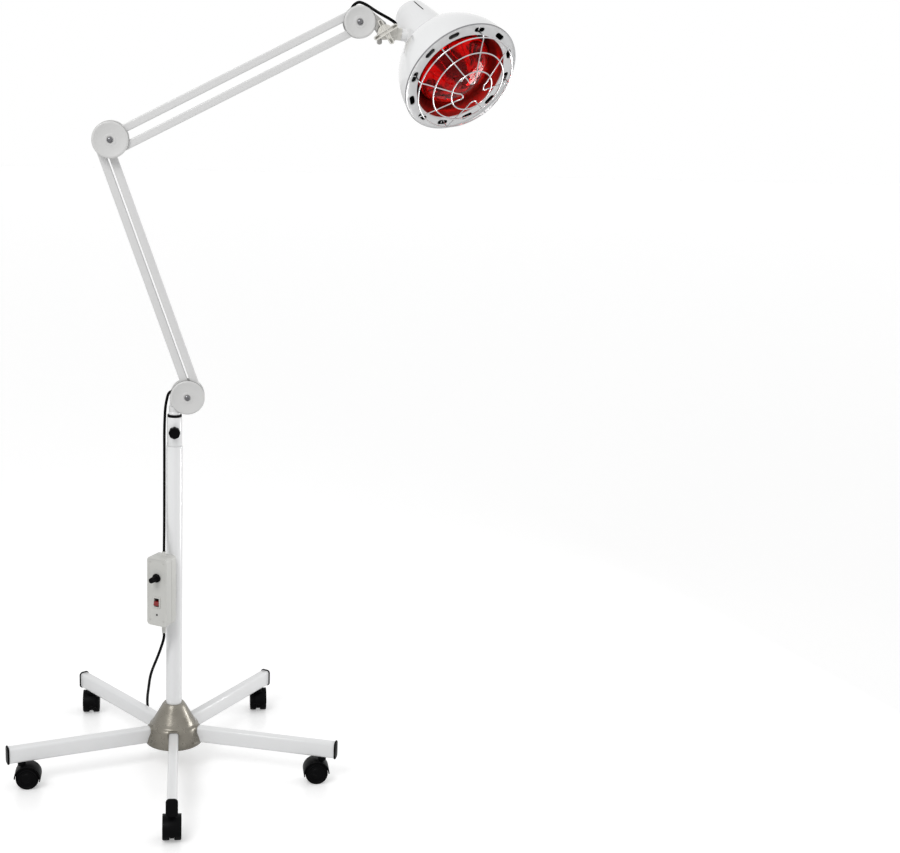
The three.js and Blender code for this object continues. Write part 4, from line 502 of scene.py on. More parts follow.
tread = [(0.0, 0.0058), (0.003, 0.0058), (0.003, 0.0038), (0.019, 0.0038), (0.0198, 0.0046),
         (0.02, 0.0062), (0.02, 0.0128), (0.0196, 0.0146), (0.0187, 0.0156), (0.017, 0.0157),
         (0.0163, 0.0148), (0.0154, 0.0138), (0.0102, 0.0138), (0.0093, 0.0148),
         (0.0074, 0.0156), (0.003, 0.0157), (0.0, 0.0154)]
wheel = close(turned("wheel", tread), place=spin("X", -90))
axle = turned("axle", [(0, -0.005), (0.003, -0.005), (0.003, 0.005), (0, 0.005)], 24)
close(axle, place=spin("X", -90))
pair = another(wheel, "pair", spin("Z", 180))
weld(pair, wheel)
weld(pair, axle)
close(pair)
for number, (turn, swing) in enumerate(zip(leg_turns, (180, 18, -144, 144, -18)), 1):
    under = (at_pole @ Matrix.Rotation(turn, 4, "Z") @ shift(caster_reach, 0, axle_height)
             @ spin("Z", swing) @ shift(-trail, 0, 0))
    fit(another(hood, f"caster_hood_{number}", under), black_plastic, "black_plastic",
        f"caster_{number}", f"caster_housing_{number}")
    fit(another(pair, f"caster_pair_{number}", under), black_plastic, "black_plastic",
        f"wheels_{number}", f"caster_wheels_{number}")
bpy.data.objects.remove(hood)
bpy.data.objects.remove(pair)

# The pole is white coated steel tube. A turned socket plugs its top and holds the arm's
# spigot, with a black collar ring above it and a lobed black knob on its clamp screw.
pole = turned("pole_tubing", [(0.0124, 0.0497), (0.014, 0.0497), (0.014, 0.5932),
                              (0.0136, 0.594), (0.0124, 0.594), (0.0124, 0.0497)], 72)
close(pole, place=at_pole)
fit(pole, white_enamel, "white_enamel", "stand", "pole_tube")
socket = turned("arm_socket", [
    (0.0, 0.5603), (0.0118, 0.5603), (0.0121, 0.5943), (0.0126, 0.5943), (0.013, 0.5948),
    (0.013, 0.6443), (0.0124, 0.6453), (0.0073, 0.6453), (0.0073, 0.597), (0.0, 0.597)], 72)
close(socket)
knob_height = 0.621
combine(socket, close(plate("hole", circle(0, knob_height, 0.0033, 24), -0.02, 0.0)))
close(socket, place=at_pole)
fit(socket, white_enamel, "white_enamel", "stand", "pole_socket")
collar = turned("collar_ring", [
    (0.0073, 0.6456), (0.0121, 0.6456), (0.0125, 0.646), (0.0125, 0.6489), (0.0121, 0.6493),
    (0.0073, 0.6493), (0.0073, 0.6456)])
close(collar, place=at_pole)
fit(collar, black_plastic, "black_plastic", "stand", "pole_collar")
lobes = [(0.01 - 0.0007 * (1 - math.cos(math.radians(5 * step * 8))) / 2) for step in range(72)]
knob = plate("screw_knob", [polar(reach, 5 * step) for step, reach in enumerate(lobes)],
             -0.0253, -0.0148)
inset_end(-1, 0.0024, 0.0011)
pick_end(1)
push(0, 0.0015, 0)
bpy.ops.transform.resize(value=(0.7, 1, 0.7))
close(knob, 0.0007)
weld(knob, close(plate("screw", circle(0, 0, 0.003, 24), -0.0142, -0.0073)))
close(knob, place=shift(pole_x, pole_y, knob_height))
fit(knob, black_plastic, "black_plastic", "clamp_screw", "clamp_knob")

# The shoulder casting stands on the collar by a round foot. A short neck joins the foot to the
# plate that carries the two lower bars on pins, between two round covers held by one bolt.
pivot = {joint["name"]: Vector(joint["pos_m"]) for joint in frame["joints"]}
arm_grey = finish("arm_grey", (0.7, 0.7, 0.7), 0.36, tone=0.1, patch=8, grain=420,
                  depth=0.00006, coat=0.25)
cover_white = finish("cover_white", (0.66, 0.66, 0.655), 0.4, tone=0.14, patch=14, grain=650,
                     depth=0.00005, coat=0.15)
chrome = finish("chrome", (0.66, 0.66, 0.67), 0.12, tone=0.2, patch=60, spread=0.08,
                depth=0.00001, metal=1.0)
# The bolts' chrome is darkened as a painted dark reflection of their surroundings.
bolt_chrome_painted_dark_reflection = finish("bolt_chrome_painted_dark_reflection", (0.2, 0.2, 0.21), 0.07, tone=0.2, patch=60, spread=0.06,
                     depth=0.00001, metal=1.0)
# A dark grey painted as shade on the covers' edges, where they meet the castings.
painted_edge_shade = finish("painted_edge_shade", (0.17, 0.165, 0.16), 0.45, tone=0.2, patch=20)
cover_thickness = 0.006


def tooled_copy(node, name, rounding, material, slot, body):
    """A casting's own solid with its corners joined and its edges rounded, in its place."""
    piece = frame["nodes"][node].copy()
    piece.data = piece.data.copy()
    piece.name = name
    piece.parent = None
    for key in list(piece.keys()):
        del piece[key]
    bpy.context.scene.collection.objects.link(piece)
    only(piece)
    bpy.ops.object.mode_set(mode="EDIT")
    pick_all()
    bpy.ops.mesh.remove_doubles(threshold=0.00001)
    bpy.ops.mesh.dissolve_limited(angle_limit=math.radians(2))
    fit(close(piece, rounding, 2, 32), material, slot, body, node)


def cross_bolt(name, front, back):
    """A chromed through-bolt about the Y axis, with a domed cross head at both ends."""
    dome = [(0.0, 0.0026), (0.0016, 0.00255), (0.0031, 0.0021), (0.0043, 0.0012),
            (0.0049, 0.0003), (0.0049, 0.0)]
    bolt_line = ([(radius, front - high) for radius, high in dome] + [(0.003, front), (0.003, back)]
                 + [(radius, back + high) for radius, high in dome[::-1]])
    bolt = close(turned(name, bolt_line, 48), place=spin("X", -90))
    for depth in (front - 0.003, back + 0.003):
        for turn in (20, 110):
            slot = plate("slot", rounded(0.005, 0.0011, 0.0003, 2), -0.0016, 0.0016)
            combine(bolt, close(slot, place=shift(0, depth, 0) @ spin("Y", turn)))
    return close(bolt, 0.00012)


def paint(piece, material, test):
    """Gives another material to the faces whose middle and direction pass a test."""
    piece.data.materials.append(material)
    for face in piece.data.polygons:
        if test(face.center, face.normal):
            face.material_index = len(piece.data.materials) - 1


shoulder_x, shoulder_z = pole_x + 0.0218, 0.6809
at_shoulder = shift(shoulder_x, pole_y, shoulder_z)
tooled_copy("shoulder_casting", "shoulder_block", 0.0009, arm_grey, "casting_grey", "shoulder")
foot_ring = turned("foot_ring", [(0.0072, 0.65), (0.01, 0.65), (0.0104, 0.6504),
                                 (0.0104, 0.6542), (0.0098, 0.655), (0.0072, 0.655),
                                 (0.0072, 0.65)])
close(foot_ring, place=at_pole)
fit(foot_ring, white_enamel, "casting_grey", "shoulder")


def dressed_joint(place, name, radius, front, back):
    """Two covers with a rounded edge and a sunk middle, and their bolt, on a joint's two faces."""
    cover_line = [(0.0033, 0.0), (radius - 0.0008, 0.0), (radius, 0.0008), (radius, 0.003)]
    cover_line += arc(radius - 0.0026, 0.0034, 0.0026, 10, 90, 7)
    cover_line += [(radius - 0.004, 0.006), (radius - 0.0046, 0.0057), (0.01, 0.0056),
                   (0.0094, 0.006), (0.0062, 0.006), (0.0056, 0.0054), (0.0033, 0.0054),
                   (0.0033, 0.0)]
    for side, face, turn in (("front", front, 90), ("back", back, -90)):
        disc = turned(f"{name}_disc_{side}", cover_line, 96)
        close(disc, smooth=30, place=shift(0, face, 0) @ spin("X", turn))
        disc.data.transform(place)
        fit(disc, cover_white, "cover_plastic", name, f"{name}_cover_{side}")
        # The covers' side faces are painted dark grey as shade.
        paint(disc, painted_edge_shade, lambda middle, way: (
            abs(way.y) < 0.3 and (middle - place.translation).xz.length > 0.02))
    bolt = cross_bolt(f"{name}_screw", front - cover_thickness - 0.0002,
                      back + cover_thickness + 0.0002)
    bolt.data.transform(place)
    fit(bolt, bolt_chrome_painted_dark_reflection, "chrome", name, f"{name}_bolt")


dressed_joint(at_shoulder, "shoulder", 0.0297, -0.0063, 0.0096)

# Each arm is two straight bars of flat-sided aluminium tube, coated light grey, side by side and
# each on a pin at both ends. A pulled coil spring lies hidden in the first bar of each arm.
pin_to_pin, lower_angle, upper_angle = 0.431, 109.7, 27.6
bar = plate("bar", arc(pin_to_pin, 0, 0.0066, -90, 90, 12) + arc(0, 0, 0.0066, 90, 270, 12),
            -0.006, 0.006)
close(bar, 0.0017, 3)
for end in (pin_to_pin, 0):
    combine(bar, close(plate("eyelet", circle(end, 0, 0.0033, 24), -0.01, 0.01)))
close(bar)
pin = turned("pin", [(0.0, -0.0059), (0.0022, -0.0059), (0.0028, -0.0054), (0.0028, 0.0054),
                     (0.0022, 0.0059), (0.0, 0.0059)], 32)
close(pin, place=spin("X", -90))
for hinge, angle, body, carrier in (
        ("lower_arm_lift", lower_angle, "lower_bar_left", "shoulder"),
        ("lower_arm_second_bar", lower_angle, "lower_bar_right", "shoulder"),
        ("upper_arm_lift", upper_angle, "upper_bar_top", "elbow"),
        ("upper_arm_second_bar", upper_angle, "upper_bar_bottom", "elbow")):
    along = Matrix.Translation(pivot[hinge]) @ spin("Y", -angle)
    fit(another(bar, body + "_tube", along), arm_grey, "arm_grey", body,
        body.replace("bar", "arm_bar"))
    fit(another(pin, body + "_rivet", along), bare_steel, "steel", carrier)
bpy.data.objects.remove(bar)
bpy.data.objects.remove(pin)


def coat_node(node, material):
    """Gives a CAD node that stays in the picture its material."""
    frame["nodes"][node].data.materials.clear()
    frame["nodes"][node].data.materials.append(material)


for spring in ("lower_arm_spring", "upper_arm_spring"):
    coat_node(spring, bare_steel)

# The elbow is a cast plate between the lower and the upper pair of bars, with the pins of both
# pairs cast on it. Two larger round covers and a bolt close it.
elbow_x, elbow_z = pivot["elbow_level"].x + 0.0214, pivot["elbow_level"].z + 0.007
at_elbow = shift(elbow_x, pole_y, elbow_z)
tooled_copy("elbow_casting", "elbow_block", 0.0004, arm_grey, "casting_grey", "elbow")
dressed_joint(at_elbow, "elbow", 0.0303, -0.0219, 0.0063)

# The wrist is a grey cast block. It holds the upper bars' far ends between two covers and runs
# out into one half of the tilt joint, with a small round stop below it.
warm_white = finish("warm_white", (0.76, 0.745, 0.7), 0.42, tone=0.16, patch=22, grain=800,
                    depth=0.00005, coat=0.1)
wrist_x, wrist_z = pivot["wrist_level"].x + 0.0104, pivot["wrist_level"].z - 0.0141
at_wrist = shift(wrist_x, pole_y, wrist_z)
# The wrist block is coloured darker than the other castings, as painted shade.
wrist_grey_painted_shade = finish("wrist_grey_painted_shade", (0.44, 0.435, 0.42), 0.42, tone=0.3, patch=30, grain=800,
                    depth=0.00005, coat=0.1)
# A darker grey painted as shade in the knob's grooves.
painted_groove_shade = finish("painted_groove_shade", (0.3, 0.295, 0.27), 0.6, tone=0.3, patch=40)
tooled_copy("wrist_casting", "wrist_block", 0.0008, wrist_grey_painted_shade, "casting_grey", "wrist")
dressed_joint(at_wrist, "wrist", 0.0264, -0.0219, -0.006)

# The tilt joint is a moulded knuckle on the stem, pulled tight by a cross-shaped hand knob with
# a groove along each arm. A hexagon nut behind it locks the swivel.
knee = pivot["head_tilt"]
at_knee = Matrix.Translation(knee)
stem_drop, swivel_turn, knob_turn, knob_face = 6, -55.9, 33, -0.01275
on_stem = at_knee @ spin("Y", stem_drop)
cross = None
for turn in (knob_turn, knob_turn + 90):
    arm = plate("arm", arc(0.0183, 0, 0.0037, -90, 90, 10) + arc(-0.0183, 0, 0.0037, 90, 270, 10),
                knob_face - 0.01, knob_face)
    inset_end(-1, 0.0012, 0.0032)
    bpy.ops.transform.resize(value=(0.985, 1, 0.66), center_override=(0, 0, 0))
    close(arm, 0.00045, place=spin("Y", -turn))
    cross = arm if cross is None else weld(cross, arm)
corners = []
for quarter in range(4):
    middle = knob_turn + 90 * quarter
    corners += [polar(0.0146, middle), polar(0.0066, middle + 45)]
diamond = plate("diamond", corners, knob_face - 0.0075, knob_face - 0.001)
weld(cross, close(diamond, 0.0008))
shank = turned("shank", [(0.0, 0.0135), (0.0052, 0.0135), (0.0052, 0.012), (0.004, 0.0118),
                         (0.004, -0.0098), (0.0, -0.0098)], 36)
weld(cross, close(shank, place=spin("X", 90)))
close(cross, place=at_knee)
fit(cross, warm_white, "white_plastic", "tilt_screw", "cross_knob")
# The groove floors of the knob get the painted shade.
paint(cross, painted_groove_shade, lambda middle, way: (
    way.y < -0.9 and abs(middle.y - knee.y - knob_face + 0.0068) < 0.0004))
lug = close(plate("lug", circle(0, 0, 0.0125, 60), -0.01245, -0.00015), 0.0007)
neck = plate("neck", [(0, -0.009), (0.0157, -0.0078), (0.0157, 0.0078), (0, 0.009)],
             -0.0122, -0.0004)
weld(lug, close(neck, 0.0006))
along_x = spin("Y", 90)
coupling = turned("coupling", [(0.0, 0.015), (0.0112, 0.015), (0.012, 0.0158),
                               (0.012, 0.0182), (0.0112, 0.019), (0.005, 0.019),
                               (0.005, 0.044), (0.003, 0.044), (0.003, 0.016), (0, 0.016)], 56)
weld(lug, close(coupling, place=along_x))
combine(lug, close(plate("bore", circle(0, 0, 0.0043, 32), -0.02, 0.01)))
close(lug, place=on_stem)
fit(lug, warm_white, "white_plastic", "knuckle", "tilt_knuckle")
at_swivel = on_stem @ spin("X", swivel_turn)
nut_middle = (0.0233, 0, 0)
nut = begin("lock_nut", bpy.ops.mesh.primitive_cylinder_add, vertices=6, radius=0.01155,
            depth=0.008, rotation=(0, math.pi / 2, 0), location=nut_middle)
pick(lambda middle, way: abs(way.x) > 0.9)
bpy.ops.mesh.inset(thickness=0.0012)
bpy.ops.transform.resize(value=(1.08, 1, 1), center_override=nut_middle)
close(nut, 0.0005)
through = turned("through", [(0, 0.0), (0.0053, 0.0), (0.0053, 0.04), (0, 0.04)], 40)
combine(nut, close(through, place=along_x))
close(nut, place=at_swivel)
fit(nut, warm_white, "white_plastic", "head", "swivel_nut")

# The shade is spun and pressed aluminium with a high-gloss white coat: a wide body, a shoulder
# and a long neck with three cut air slots. A boss on the neck takes the stem.
lean, stem_reach, boss_side, boss_back = math.radians(64.7), 0.0348, 0.0365, 0.1265
head = (at_swivel @ shift(stem_reach + boss_back * math.cos(lean) + boss_side * math.sin(lean),
                          0, -boss_back * math.sin(lean) + boss_side * math.cos(lean))
        @ Matrix.Rotation(math.radians(90) + lean, 4, "Y"))
gloss_white = finish("gloss_white", (0.8, 0.805, 0.81), 0.16, tone=0.06, patch=6, spread=0.06,
                     grain=160, depth=0.00004, coat=0.8)
# Near black, painted as shade on the inside of the shade, so the air slots read dark.
painted_shade_inside = finish("painted_shade_inside", (0.008, 0.008, 0.008), 0.8, tone=0.3, patch=30, grain=600)


def shade_line(wall):
    """The shade's outline from its mouth to its dome, set in by a wall."""
    neck_start, dome_start, dome_radius = 0.0835, 0.173, 0.0295
    line = []
    for step in range(13):
        share = step / 12
        line.append((0.075 + 0.0235 * (1 - share ** 2) - wall, 0.0018 + 0.0682 * share))
    line += [(0.0728 - wall * 0.9, 0.0733 - wall * 0.5), (0.069 - wall * 0.7, 0.0757 - wall * 0.7)]
    line += [(0.064 - wall * 0.5, 0.0775 - wall * 0.9), (0.059 - wall * 0.4, 0.0785 - wall)]
    line += [(0.052 - wall, 0.0794 - wall), (0.048 - wall, 0.0803 - wall)]
    line += [(0.0462 - wall, 0.0815 - wall), (0.0453 - wall, neck_start - wall)]
    line += [(dome_radius + 0.0158 * (1 - step / 6) - wall,
              neck_start + (dome_start - neck_start) * step / 6) for step in range(1, 7)]
    line += [(polar(dome_radius - wall, turn)[0], dome_start + polar(0.019 - wall, turn)[1])
             for turn in (15, 30, 45, 60, 75)]
    return line


outside = [(radius, -depth) for radius, depth in shade_line(0)]
inside = [(radius, -depth) for radius, depth in shade_line(0.002)]
shade = turned("shade", [(0.0, -0.192)] + outside[::-1] + inside
               + [(0.012, -0.189), (0.012, -0.182), (0.0, -0.182)], 128)
close(shade)
boss = turned("boss", [(0.0, -0.0072), (0.0105, -0.0072), (0.0105, 0.007), (0, 0.007)], 48)
to_neck = (shift(boss_side, 0, -boss_back) @ Matrix.Rotation(-math.radians(90) - lean, 4, "Y")
           @ along_x)
weld(shade, close(boss, 0.0008, place=to_neck))
stem_room = turned("room", [(0.0, -0.01), (0.0053, -0.01), (0.0053, 0.0105), (0, 0.0105)], 40)
combine(shade, close(stem_room, place=to_neck))
for number in range(3):
    slit = plate("slit", rounded(0.0022, 0.034, 0.00105, 4), 0.01, 0.05)
    combine(shade, close(slit, place=spin("Z", 185 + 120 * number) @ shift(0, 0, -0.158)))
close(shade, place=head, smooth=28)
fit(shade, gloss_white, "shade_enamel", "head", "shade_casing")
from_head = head.inverted()


def round_axis(test):
    """Makes a face test of reach from the head's axis, height along it and outward slant."""
    def tried(middle, way):
        here = from_head @ middle
        return test(here.xy.length, here.z, (from_head.to_3x3() @ way).xy.dot(here.xy))
    return tried


# The faces inside the shade get the painted shade.
paint(shade, painted_shade_inside, round_axis(
    lambda reach, height, out: out < 0 and reach < 0.098 and height > -0.17))

# The mouth ring is one pressing: a flat flange with a rolled edge and twelve long air slots, and
# inside it a deep satin reflector, coloured red as a painted reflection of the ruby glass.
first_slot = 21.5
reflector_line = [(0.0792, 0.0), (0.0787, -0.0003), (0.0783, -0.001), (0.0778, -0.003),
                  (0.0762, -0.01), (0.0734, -0.02), (0.0684, -0.0363), (0.062, -0.048),
                  (0.056, -0.058), (0.05, -0.066)]
back_line = [(radius + 0.0013, height) for radius, height in reflector_line[3:]][::-1]
edge_line = [(0.0806, -0.0015), (0.0965, -0.0015), (0.0985, -0.0014), (0.0996, -0.0008),
             (0.1, 0.0002), (0.0997, 0.0011), (0.0989, 0.0015), (0.0981, 0.0012),
             (0.0975, 0.0003), (0.0968, 0.0), (0.0792, 0.0)]
ring = turned("mouth_ring", reflector_line + back_line + edge_line, 144)
close(ring)
slot_line = arc(0, 0.00525, 0.00425, 0, 180, 12) + arc(0, -0.00525, 0.00425, 180, 360, 12)
for number in range(12):
    slot = plate("slot", slot_line, -0.004, 0.004)
    combine(ring, close(slot, place=spin("Z", first_slot + 30 * number) @ shift(0.088, 0, 0)
                        @ spin("Z", 90) @ spin("Y", 90) @ spin("Z", 90)))
close(ring, place=head, smooth=30)
# The flange is a darker copy of the shade's white enamel: a painted dark reflection.
ring_white_painted_reflection = finish("ring_white_painted_reflection", (0.66, 0.665, 0.67), 0.24, tone=0.06, patch=10, spread=0.08,
                    grain=300, depth=0.00004, coat=0.6)
fit(ring, ring_white_painted_reflection, "shade_enamel", "head", "reflector_ring")
# Red metal: a painted reflection of the ruby glass in the reflector.
painted_reflection_bowl = finish("reflector_painted_red_reflection", (0.9, 0.09, 0.07), 0.42, tone=0.3, patch=24, spread=0.1,
                    grain=300, metal=1.0)
# Dark grey painted on the rolled edge as shade and dark reflection.
painted_rim_shade = finish("painted_rim_shade", (0.24, 0.24, 0.25), 0.4, tone=0.1)
paint(ring, painted_reflection_bowl, round_axis(
    lambda reach, height, out: out < -0.0001 and reach < 0.0784 and height < -0.0006))
# The rolled edge's outward faces get the painted shade.
paint(ring, painted_rim_shade, round_axis(lambda reach, height, out: out > 0.0001 and reach > 0.0992))

# The bulb is a blown reflector lamp of ruby glass. Behind its shoulder it is silvered inside,
# and a glass foot carries the ring-shaped filament on five thin posts.
ruby, glass = surface("ruby_glass", 0.00004, Colour=(1.0, 0.01, 0.012, 1), Tone=0.12,
                      Patch_Scale=18, Grain_Scale=60)[:2]
set_up(glass, {"Roughness": 0.02, "IOR": 1.34, "Transmission Weight": 1.0,
               "Specular Tint": (1.0, 0.3, 0.3, 1)})
bulb_line = [(0.0102, -0.1734), (0.0132, -0.1694), (0.0132, -0.132), (0.018, -0.128),
             (0.02, -0.118), (0.024, -0.108), (0.031, -0.096), (0.0378, -0.085),
             (0.0445, -0.073), (0.05, -0.063), (0.0548, -0.053), (0.059, -0.042),
             (0.062, -0.032), (0.063, -0.024)]
glass_radius, glass_wall = 0.063, 0.0012
dome_line = [(polar(glass_radius, turn)[0], -0.024 + polar(0.029, turn)[1])
             for turn in range(6, 90, 6)]
skin = [(radius - glass_wall, height - 0.0004) for radius, height in bulb_line[3:]]
skin_dome = [(polar(glass_radius - glass_wall, turn)[0], -0.0244 + polar(0.0282, turn)[1])
             for turn in range(6, 90, 6)]
bulb = turned("bulb_glass", [(0.0, -0.1734)] + bulb_line + dome_line
              + [(0.0, 0.005), (0.0, 0.0038)] + skin_dome[::-1] + skin[::-1]
              + [(0.012, -0.132), (0.0, -0.132)], 96)
close(bulb, smooth=60, place=head)
fit(bulb, ruby, "ruby_glass", "head", "infrared_bulb")
silver = finish("silvering", (0.92, 0.9, 0.88), 0.1, tone=0.3, patch=38, spread=0.1, grain=60,
                depth=0.0012, metal=1.0)
mirror = turned("silvered_bowl", [(0.012, -0.12), (0.0185, -0.116), (0.029, -0.096),
                                  (0.036, -0.0845), (0.0425, -0.0727), (0.048, -0.0628),
                                  (0.0528, -0.0528), (0.057, -0.042), (0.06, -0.033),
                                  (0.0596, -0.0332), (0.0565, -0.0424), (0.0523, -0.0531),
                                  (0.0475, -0.0631), (0.042, -0.073), (0.0355, -0.0848),
                                  (0.0285, -0.0962), (0.018, -0.1155), (0.012, -0.1195),
                                  (0.012, -0.12)], 72)
close(mirror, smooth=50, place=head)
fit(mirror, silver, "chrome", "head")
foot = turned("glass_foot", [(0.0, -0.131), (0.0115, -0.1305), (0.01, -0.118),
                             (0.007, -0.1), (0.0075, -0.086), (0.005, -0.08),
                             (0.0, -0.079)], 40)
close(foot, place=head)
fit(foot, finish("foot_glass", (0.55, 0.5, 0.45), 0.2, tone=0.5, patch=40), "ceramic", "head")


def wire(name, route, radius, place=None):
    """A round wire along a route, as a mesh."""
    piece = lead(name, route, radius)
    piece.data.bevel_resolution = 3
    piece.data.resolution_u = 2
    only(piece)
    bpy.ops.object.convert(target="MESH")
    piece = bpy.context.object
    piece.data.name = name
    if place is not None:
        piece.data.transform(place)
    return piece


filament_reach, filament_depth, curl = 0.02, 0.058, 0.0009
filament_route = []
for turn in range(10, 350, 4):
    (x, y), (curl_x, curl_y) = polar(filament_reach, turn), polar(curl, turn * 9)
    filament_route.append(Vector((x + curl_x, y + curl_y, -filament_depth + curl_y)))
filament = wire("filament", filament_route, 0.0004, place=head)
fit(filament, bare_steel, "steel", "head")
for number, turn in enumerate((12, 100, 180, 262, 346), 1):
    out = Vector((*polar(1, turn), 0))
    post_route = [out * reach + Vector((0, 0, -depth)) for reach, depth in (
        (0.005, 0.086), (0.012, 0.07), (filament_reach, filament_depth))]
    post = wire(f"filament_post_{number}", post_route, 0.0005, place=head)
    fit(post, bare_steel, "steel", "head")
holder_white = finish("holder_ceramic", (0.78, 0.75, 0.68), 0.55, tone=0.2, patch=40, grain=500)
coat_node("lamp_holder", holder_white)

# The guard is chromed spring wire: three rings with lapped ends, welded on four hairpins. Each
# hairpin is hooked through a slot of the ring and rests by its other end on the flange.
slope, lift, widest, guard_wire = 0.41, 0.00165, 0.085, 0.0011


def guard_height(radius):
    """How far the wire cage stands out of the mouth at a distance from the axis."""
    return 0.015 + (widest - radius) * slope


for name, radius, start in (("outer", widest, 200), ("middle", 0.063, 60), ("inner", 0.036, 310)):
    round_ring = []
    for step in range(75):
        lap = 0.0021 * max(0, (step - 68) / 6)
        round_ring.append(Vector((*polar(radius - lap, start + 370 * step / 74),
                                  guard_height(radius) + lift + lap * 0.3)))
    hoop = wire(f"guard_ring_{name}", round_ring, guard_wire, place=head)
    fit(hoop, chrome, "chrome", "head", *(["wire_guard"] if name == "outer" else []))
hook_at, outer, bend_at, bend_radius = 0.0852, 0.086, 0.025, 0.0065
half = math.radians(24)
end_u, end_v = outer * math.cos(half), outer * math.sin(half)
hook = [(reach * math.cos(half), -reach * math.sin(half), height) for reach, height in (
    (hook_at + 0.0092, -0.0029), (hook_at + 0.002, -0.0029), (hook_at, -0.0012),
    (hook_at, 0.004))] + [(end_u, -end_v, guard_height(outer))]
runs = []
for step in (1, 2, 3, 4, 5):
    u = end_u + (bend_at - end_u) * step / 6
    v = end_v + (bend_radius - end_v) * step / 6
    runs.append((u, v, guard_height(math.hypot(u, v))))
bend = []
for step in range(9):
    u, v = polar(bend_radius, -90 - 22.5 * step)
    bend.append((bend_at + u, v, guard_height(math.hypot(bend_at + u, v))))
stub = 1 + 0.005 / outer
for number in range(4):
    middle = math.radians(first_slot - 30 + 90 * number) + half
    route = (hook + [(u, -v, z) for u, v, z in runs] + bend + runs[::-1]
             + [(end_u, end_v, guard_height(outer)),
                (end_u * stub, end_v * stub, guard_height(outer + 0.005))])
    turned_route = [Vector((u * math.cos(middle) - v * math.sin(middle),
                            u * math.sin(middle) + v * math.cos(middle), z)) for u, v, z in route]
    pin = wire(f"guard_hairpin_{number + 1}", turned_route, guard_wire, place=head)
    fit(pin, chrome, "chrome", "head")

# The dimmer box is two light grey moulded halves with a seam between them. A saddle on its back
# is screwed to the pole. Its black knob and red rocker stand on the front.
box_grey = finish("box_grey", (0.6, 0.6, 0.575), 0.46, tone=0.14, patch=24, grain=1100,
                  depth=0.00008)
at_box = shift(box_x, box_y, 0.343) @ Matrix.Rotation(-box_turn, 4, "Z")
dial_up, rocker_down, light_down = 0.026, 0.019, 0.042
front_half = plate("box_front", rounded(0.04, 0.124, 0.006), -0.016, -0.00015)
inset_end(-1, 0.0036, 0.0006)
inset_end(1, 0.002, -0.0125)
close(front_half, 0.0007)
bezel = plate("bezel", rounded(0.014, 0.0194, 0.0015), -0.0172, -0.015)
weld(front_half, close(bezel, 0.0004, place=shift(0, 0, -rocker_down)))
window = plate("window", rounded(0.0102, 0.0156, 0.0006), -0.02, -0.0125)
combine(front_half, close(window, place=shift(0, 0, -rocker_down)))
combine(front_half, close(plate("shaft_hole", circle(0, dial_up, 0.0033, 32), -0.02, -0.012)))
for corner_x in (-0.0135, 0.0135):
    for corner_z in (-0.0525, 0.0525):
        sink = plate("sink", circle(corner_x, corner_z, 0.0016, 20), -0.02, -0.0146)
        combine(front_half, close(sink))
close(front_half, place=at_box)
fit(front_half, box_grey, "box_grey", "stand", "control_box_front")
lamp_dot = turned("box_light", [(0.0, 0.0149), (0.0016, 0.0149), (0.0016, 0.0161),
                                (0.0011, 0.0167), (0.0, 0.0168)], 24)
close(lamp_dot, place=at_box @ shift(0, 0, -light_down) @ spin("X", 90))
fit(lamp_dot, black_plastic, "black_plastic", "stand")
tooled_copy("control_box_back", "box_back", 0.0006, box_grey, "box_grey", "stand")
dial = turned("dimmer_dial", [
    (0.0, 0.0353), (0.003, 0.0353), (0.0042, 0.0349), (0.0047, 0.0342), (0.0054, 0.0206),
    (0.006, 0.02), (0.0072, 0.0192), (0.0078, 0.0183), (0.0078, 0.0166), (0.0075, 0.0163),
    (0.003, 0.0163), (0.003, 0.0073), (0.0, 0.0073)])
close(dial, place=spin("X", 90))
for number in range(12):
    flute = plate("flute", circle(0, 0, 0.0009, 10), -0.04, -0.0205)
    combine(dial, close(flute, place=spin("Y", 15 + 30 * number) @ shift(0.0056, 0, 0)))
close(dial, 0.0001, place=at_box @ shift(0, 0, dial_up))
fit(dial, black_plastic, "black_plastic", "dimmer", "dimmer_knob")
rocker_red = finish("rocker_red", (0.25, 0.006, 0.008), 0.3, tone=0.35, patch=60, coat=0.1)
tooled_copy("rocker_switch", "rocker_key", 0.0004, rocker_red, "rocker_red", "rocker")

# Two short stretches of the same lead show: from the box up the pole to the shoulder, where it
# goes in behind the cover, and from behind the wrist over the tilt joint into the stem.
pole_side = pole_x - 0.0175
over_pole = [(shoulder_x + x, pole_y + y, shoulder_z + z) for x, y, z in (
    (-0.024, 0.002, 0.01), (-0.0315, 0.002, 0.0055), (-0.0353, 0.002, -0.006),
    (-0.0376, 0.001, -0.02), (-0.0386, 0, -0.036))]
down_pole = [(pole_side, pole_y, shoulder_z - 0.062), (pole_side, pole_y, shoulder_z - 0.09),
             (pole_side, pole_y - 0.002, shoulder_z - 0.18), (pole_side, pole_y - 0.01, 0.4453)]
shoulder_route = smooth_route(
    over_pole + down_pole + [(outlet_x, outlet_y, 0.4233), (outlet_x, outlet_y, 0.4113)])
shoulder_lead = wire("shoulder_cable", shoulder_route, cord_thickness / 2)
over_wrist = [(wrist_x + x, pole_y + y, wrist_z + z) for x, y, z in (
    (-0.012, 0.003, 0.017), (-0.011, 0.0035, 0.022), (-0.008, 0.003, 0.027),
    (-0.001, 0, 0.0315), (0.008, -0.005, 0.0295))]
over_knee = [(knee.x + x, knee.y, knee.z + z) for x, z in (
    (-0.014, 0.032), (0.013, 0.018), (0.0176, 0.0142), (0.0184, 0.011))]
wrist_route = smooth_route(over_wrist + over_knee, 4)
wrist_lead = wire("head_cable", wrist_route, cord_thickness / 2)
fit(shoulder_lead, rubber, "cord_black", None, "shoulder_lead")
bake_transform(shoulder_lead)
fit(wrist_lead, rubber, "cord_black", None, "head_lead")
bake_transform(wrist_lead)

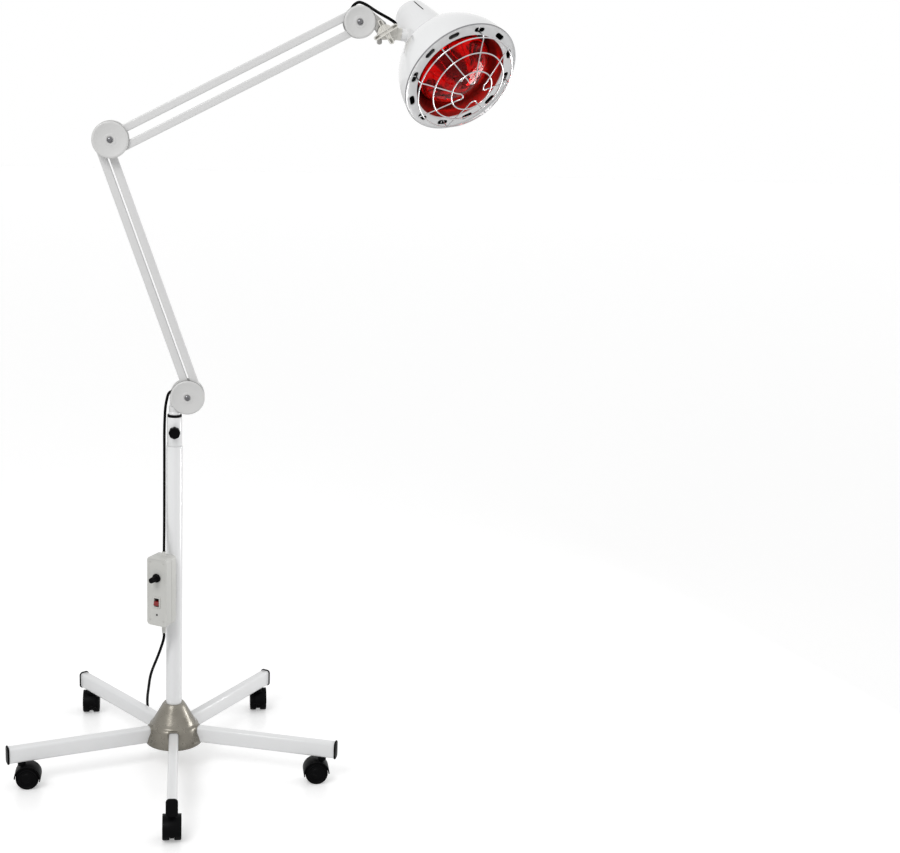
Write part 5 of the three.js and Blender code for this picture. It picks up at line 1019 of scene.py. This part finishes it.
# The studio is a white floor under soft light: a broad lamp high on the left, a smaller one low
# on the right that shows in the bulb, and an even white room, dimmer for the light it gives.
white = (1, 1, 1, 1)
floor = begin("studio_floor", bpy.ops.mesh.primitive_plane_add, size=30)
bpy.ops.object.mode_set(mode="OBJECT")
sweep = bpy.data.materials.new("white_sweep")
sweep.use_nodes = True
add, link = nodes_of(sweep.node_tree), sweep.node_tree.links.new
shader = sweep.node_tree.nodes["Principled BSDF"]
set_up(shader, {"Base Color": (0.86, 0.86, 0.86, 1), "Roughness": 0.3, "Emission Color": white})
glow = add("ShaderNodeMath", operation="MULTIPLY")
glow.inputs[1].default_value = 0.3
link(add("ShaderNodeLightPath").outputs["Is Camera Ray"], glow.inputs[0])
link(glow.outputs[0], shader.inputs["Emission Strength"])
floor.data.materials.append(sweep)
room = bpy.data.worlds.new("room")
bpy.context.scene.world = room
room.use_nodes = True
room.node_tree.nodes.clear()
add, link = nodes_of(room.node_tree), room.node_tree.links.new
seen = add("ShaderNodeLightPath").outputs
direct = add("ShaderNodeMath", operation="MAXIMUM")
either = add("ShaderNodeMath", operation="MAXIMUM")
link(seen["Is Camera Ray"], direct.inputs[0])
link(seen["Is Glossy Ray"], direct.inputs[1])
link(direct.outputs[0], either.inputs[0])
link(seen["Is Transmission Ray"], either.inputs[1])
mix = add("ShaderNodeMixShader")
link(either.outputs[0], mix.inputs["Fac"])
link(add("ShaderNodeBackground", Color=white, Strength=0.62).outputs[0], mix.inputs[1])
link(add("ShaderNodeBackground", Color=white).outputs[0], mix.inputs[2])
link(mix.outputs[0], add("ShaderNodeOutputWorld").inputs["Surface"])


def softbox(name, place, aim, width, height, power):
    """A soft lamp at a place, turned to what it lights."""
    made = bpy.data.objects.new(name, bpy.data.lights.new(name, "AREA"))
    made.data.shape = "RECTANGLE"
    made.data.size = width
    made.data.size_y = height
    made.data.energy = power
    made.location = place
    made.rotation_euler = (Vector(aim) - Vector(place)).to_track_quat("-Z", "Y").to_euler()
    bpy.context.scene.collection.objects.link(made)


softbox("key_softbox", (-1.5, -2.2, 2.9), (0, 0, 0.7), 1.4, 1.4, 46)
softbox("side_softbox", (1.59, 0.3, 0.47), (0.36, -0.07, 1.24), 0.55, 0.55, 11)
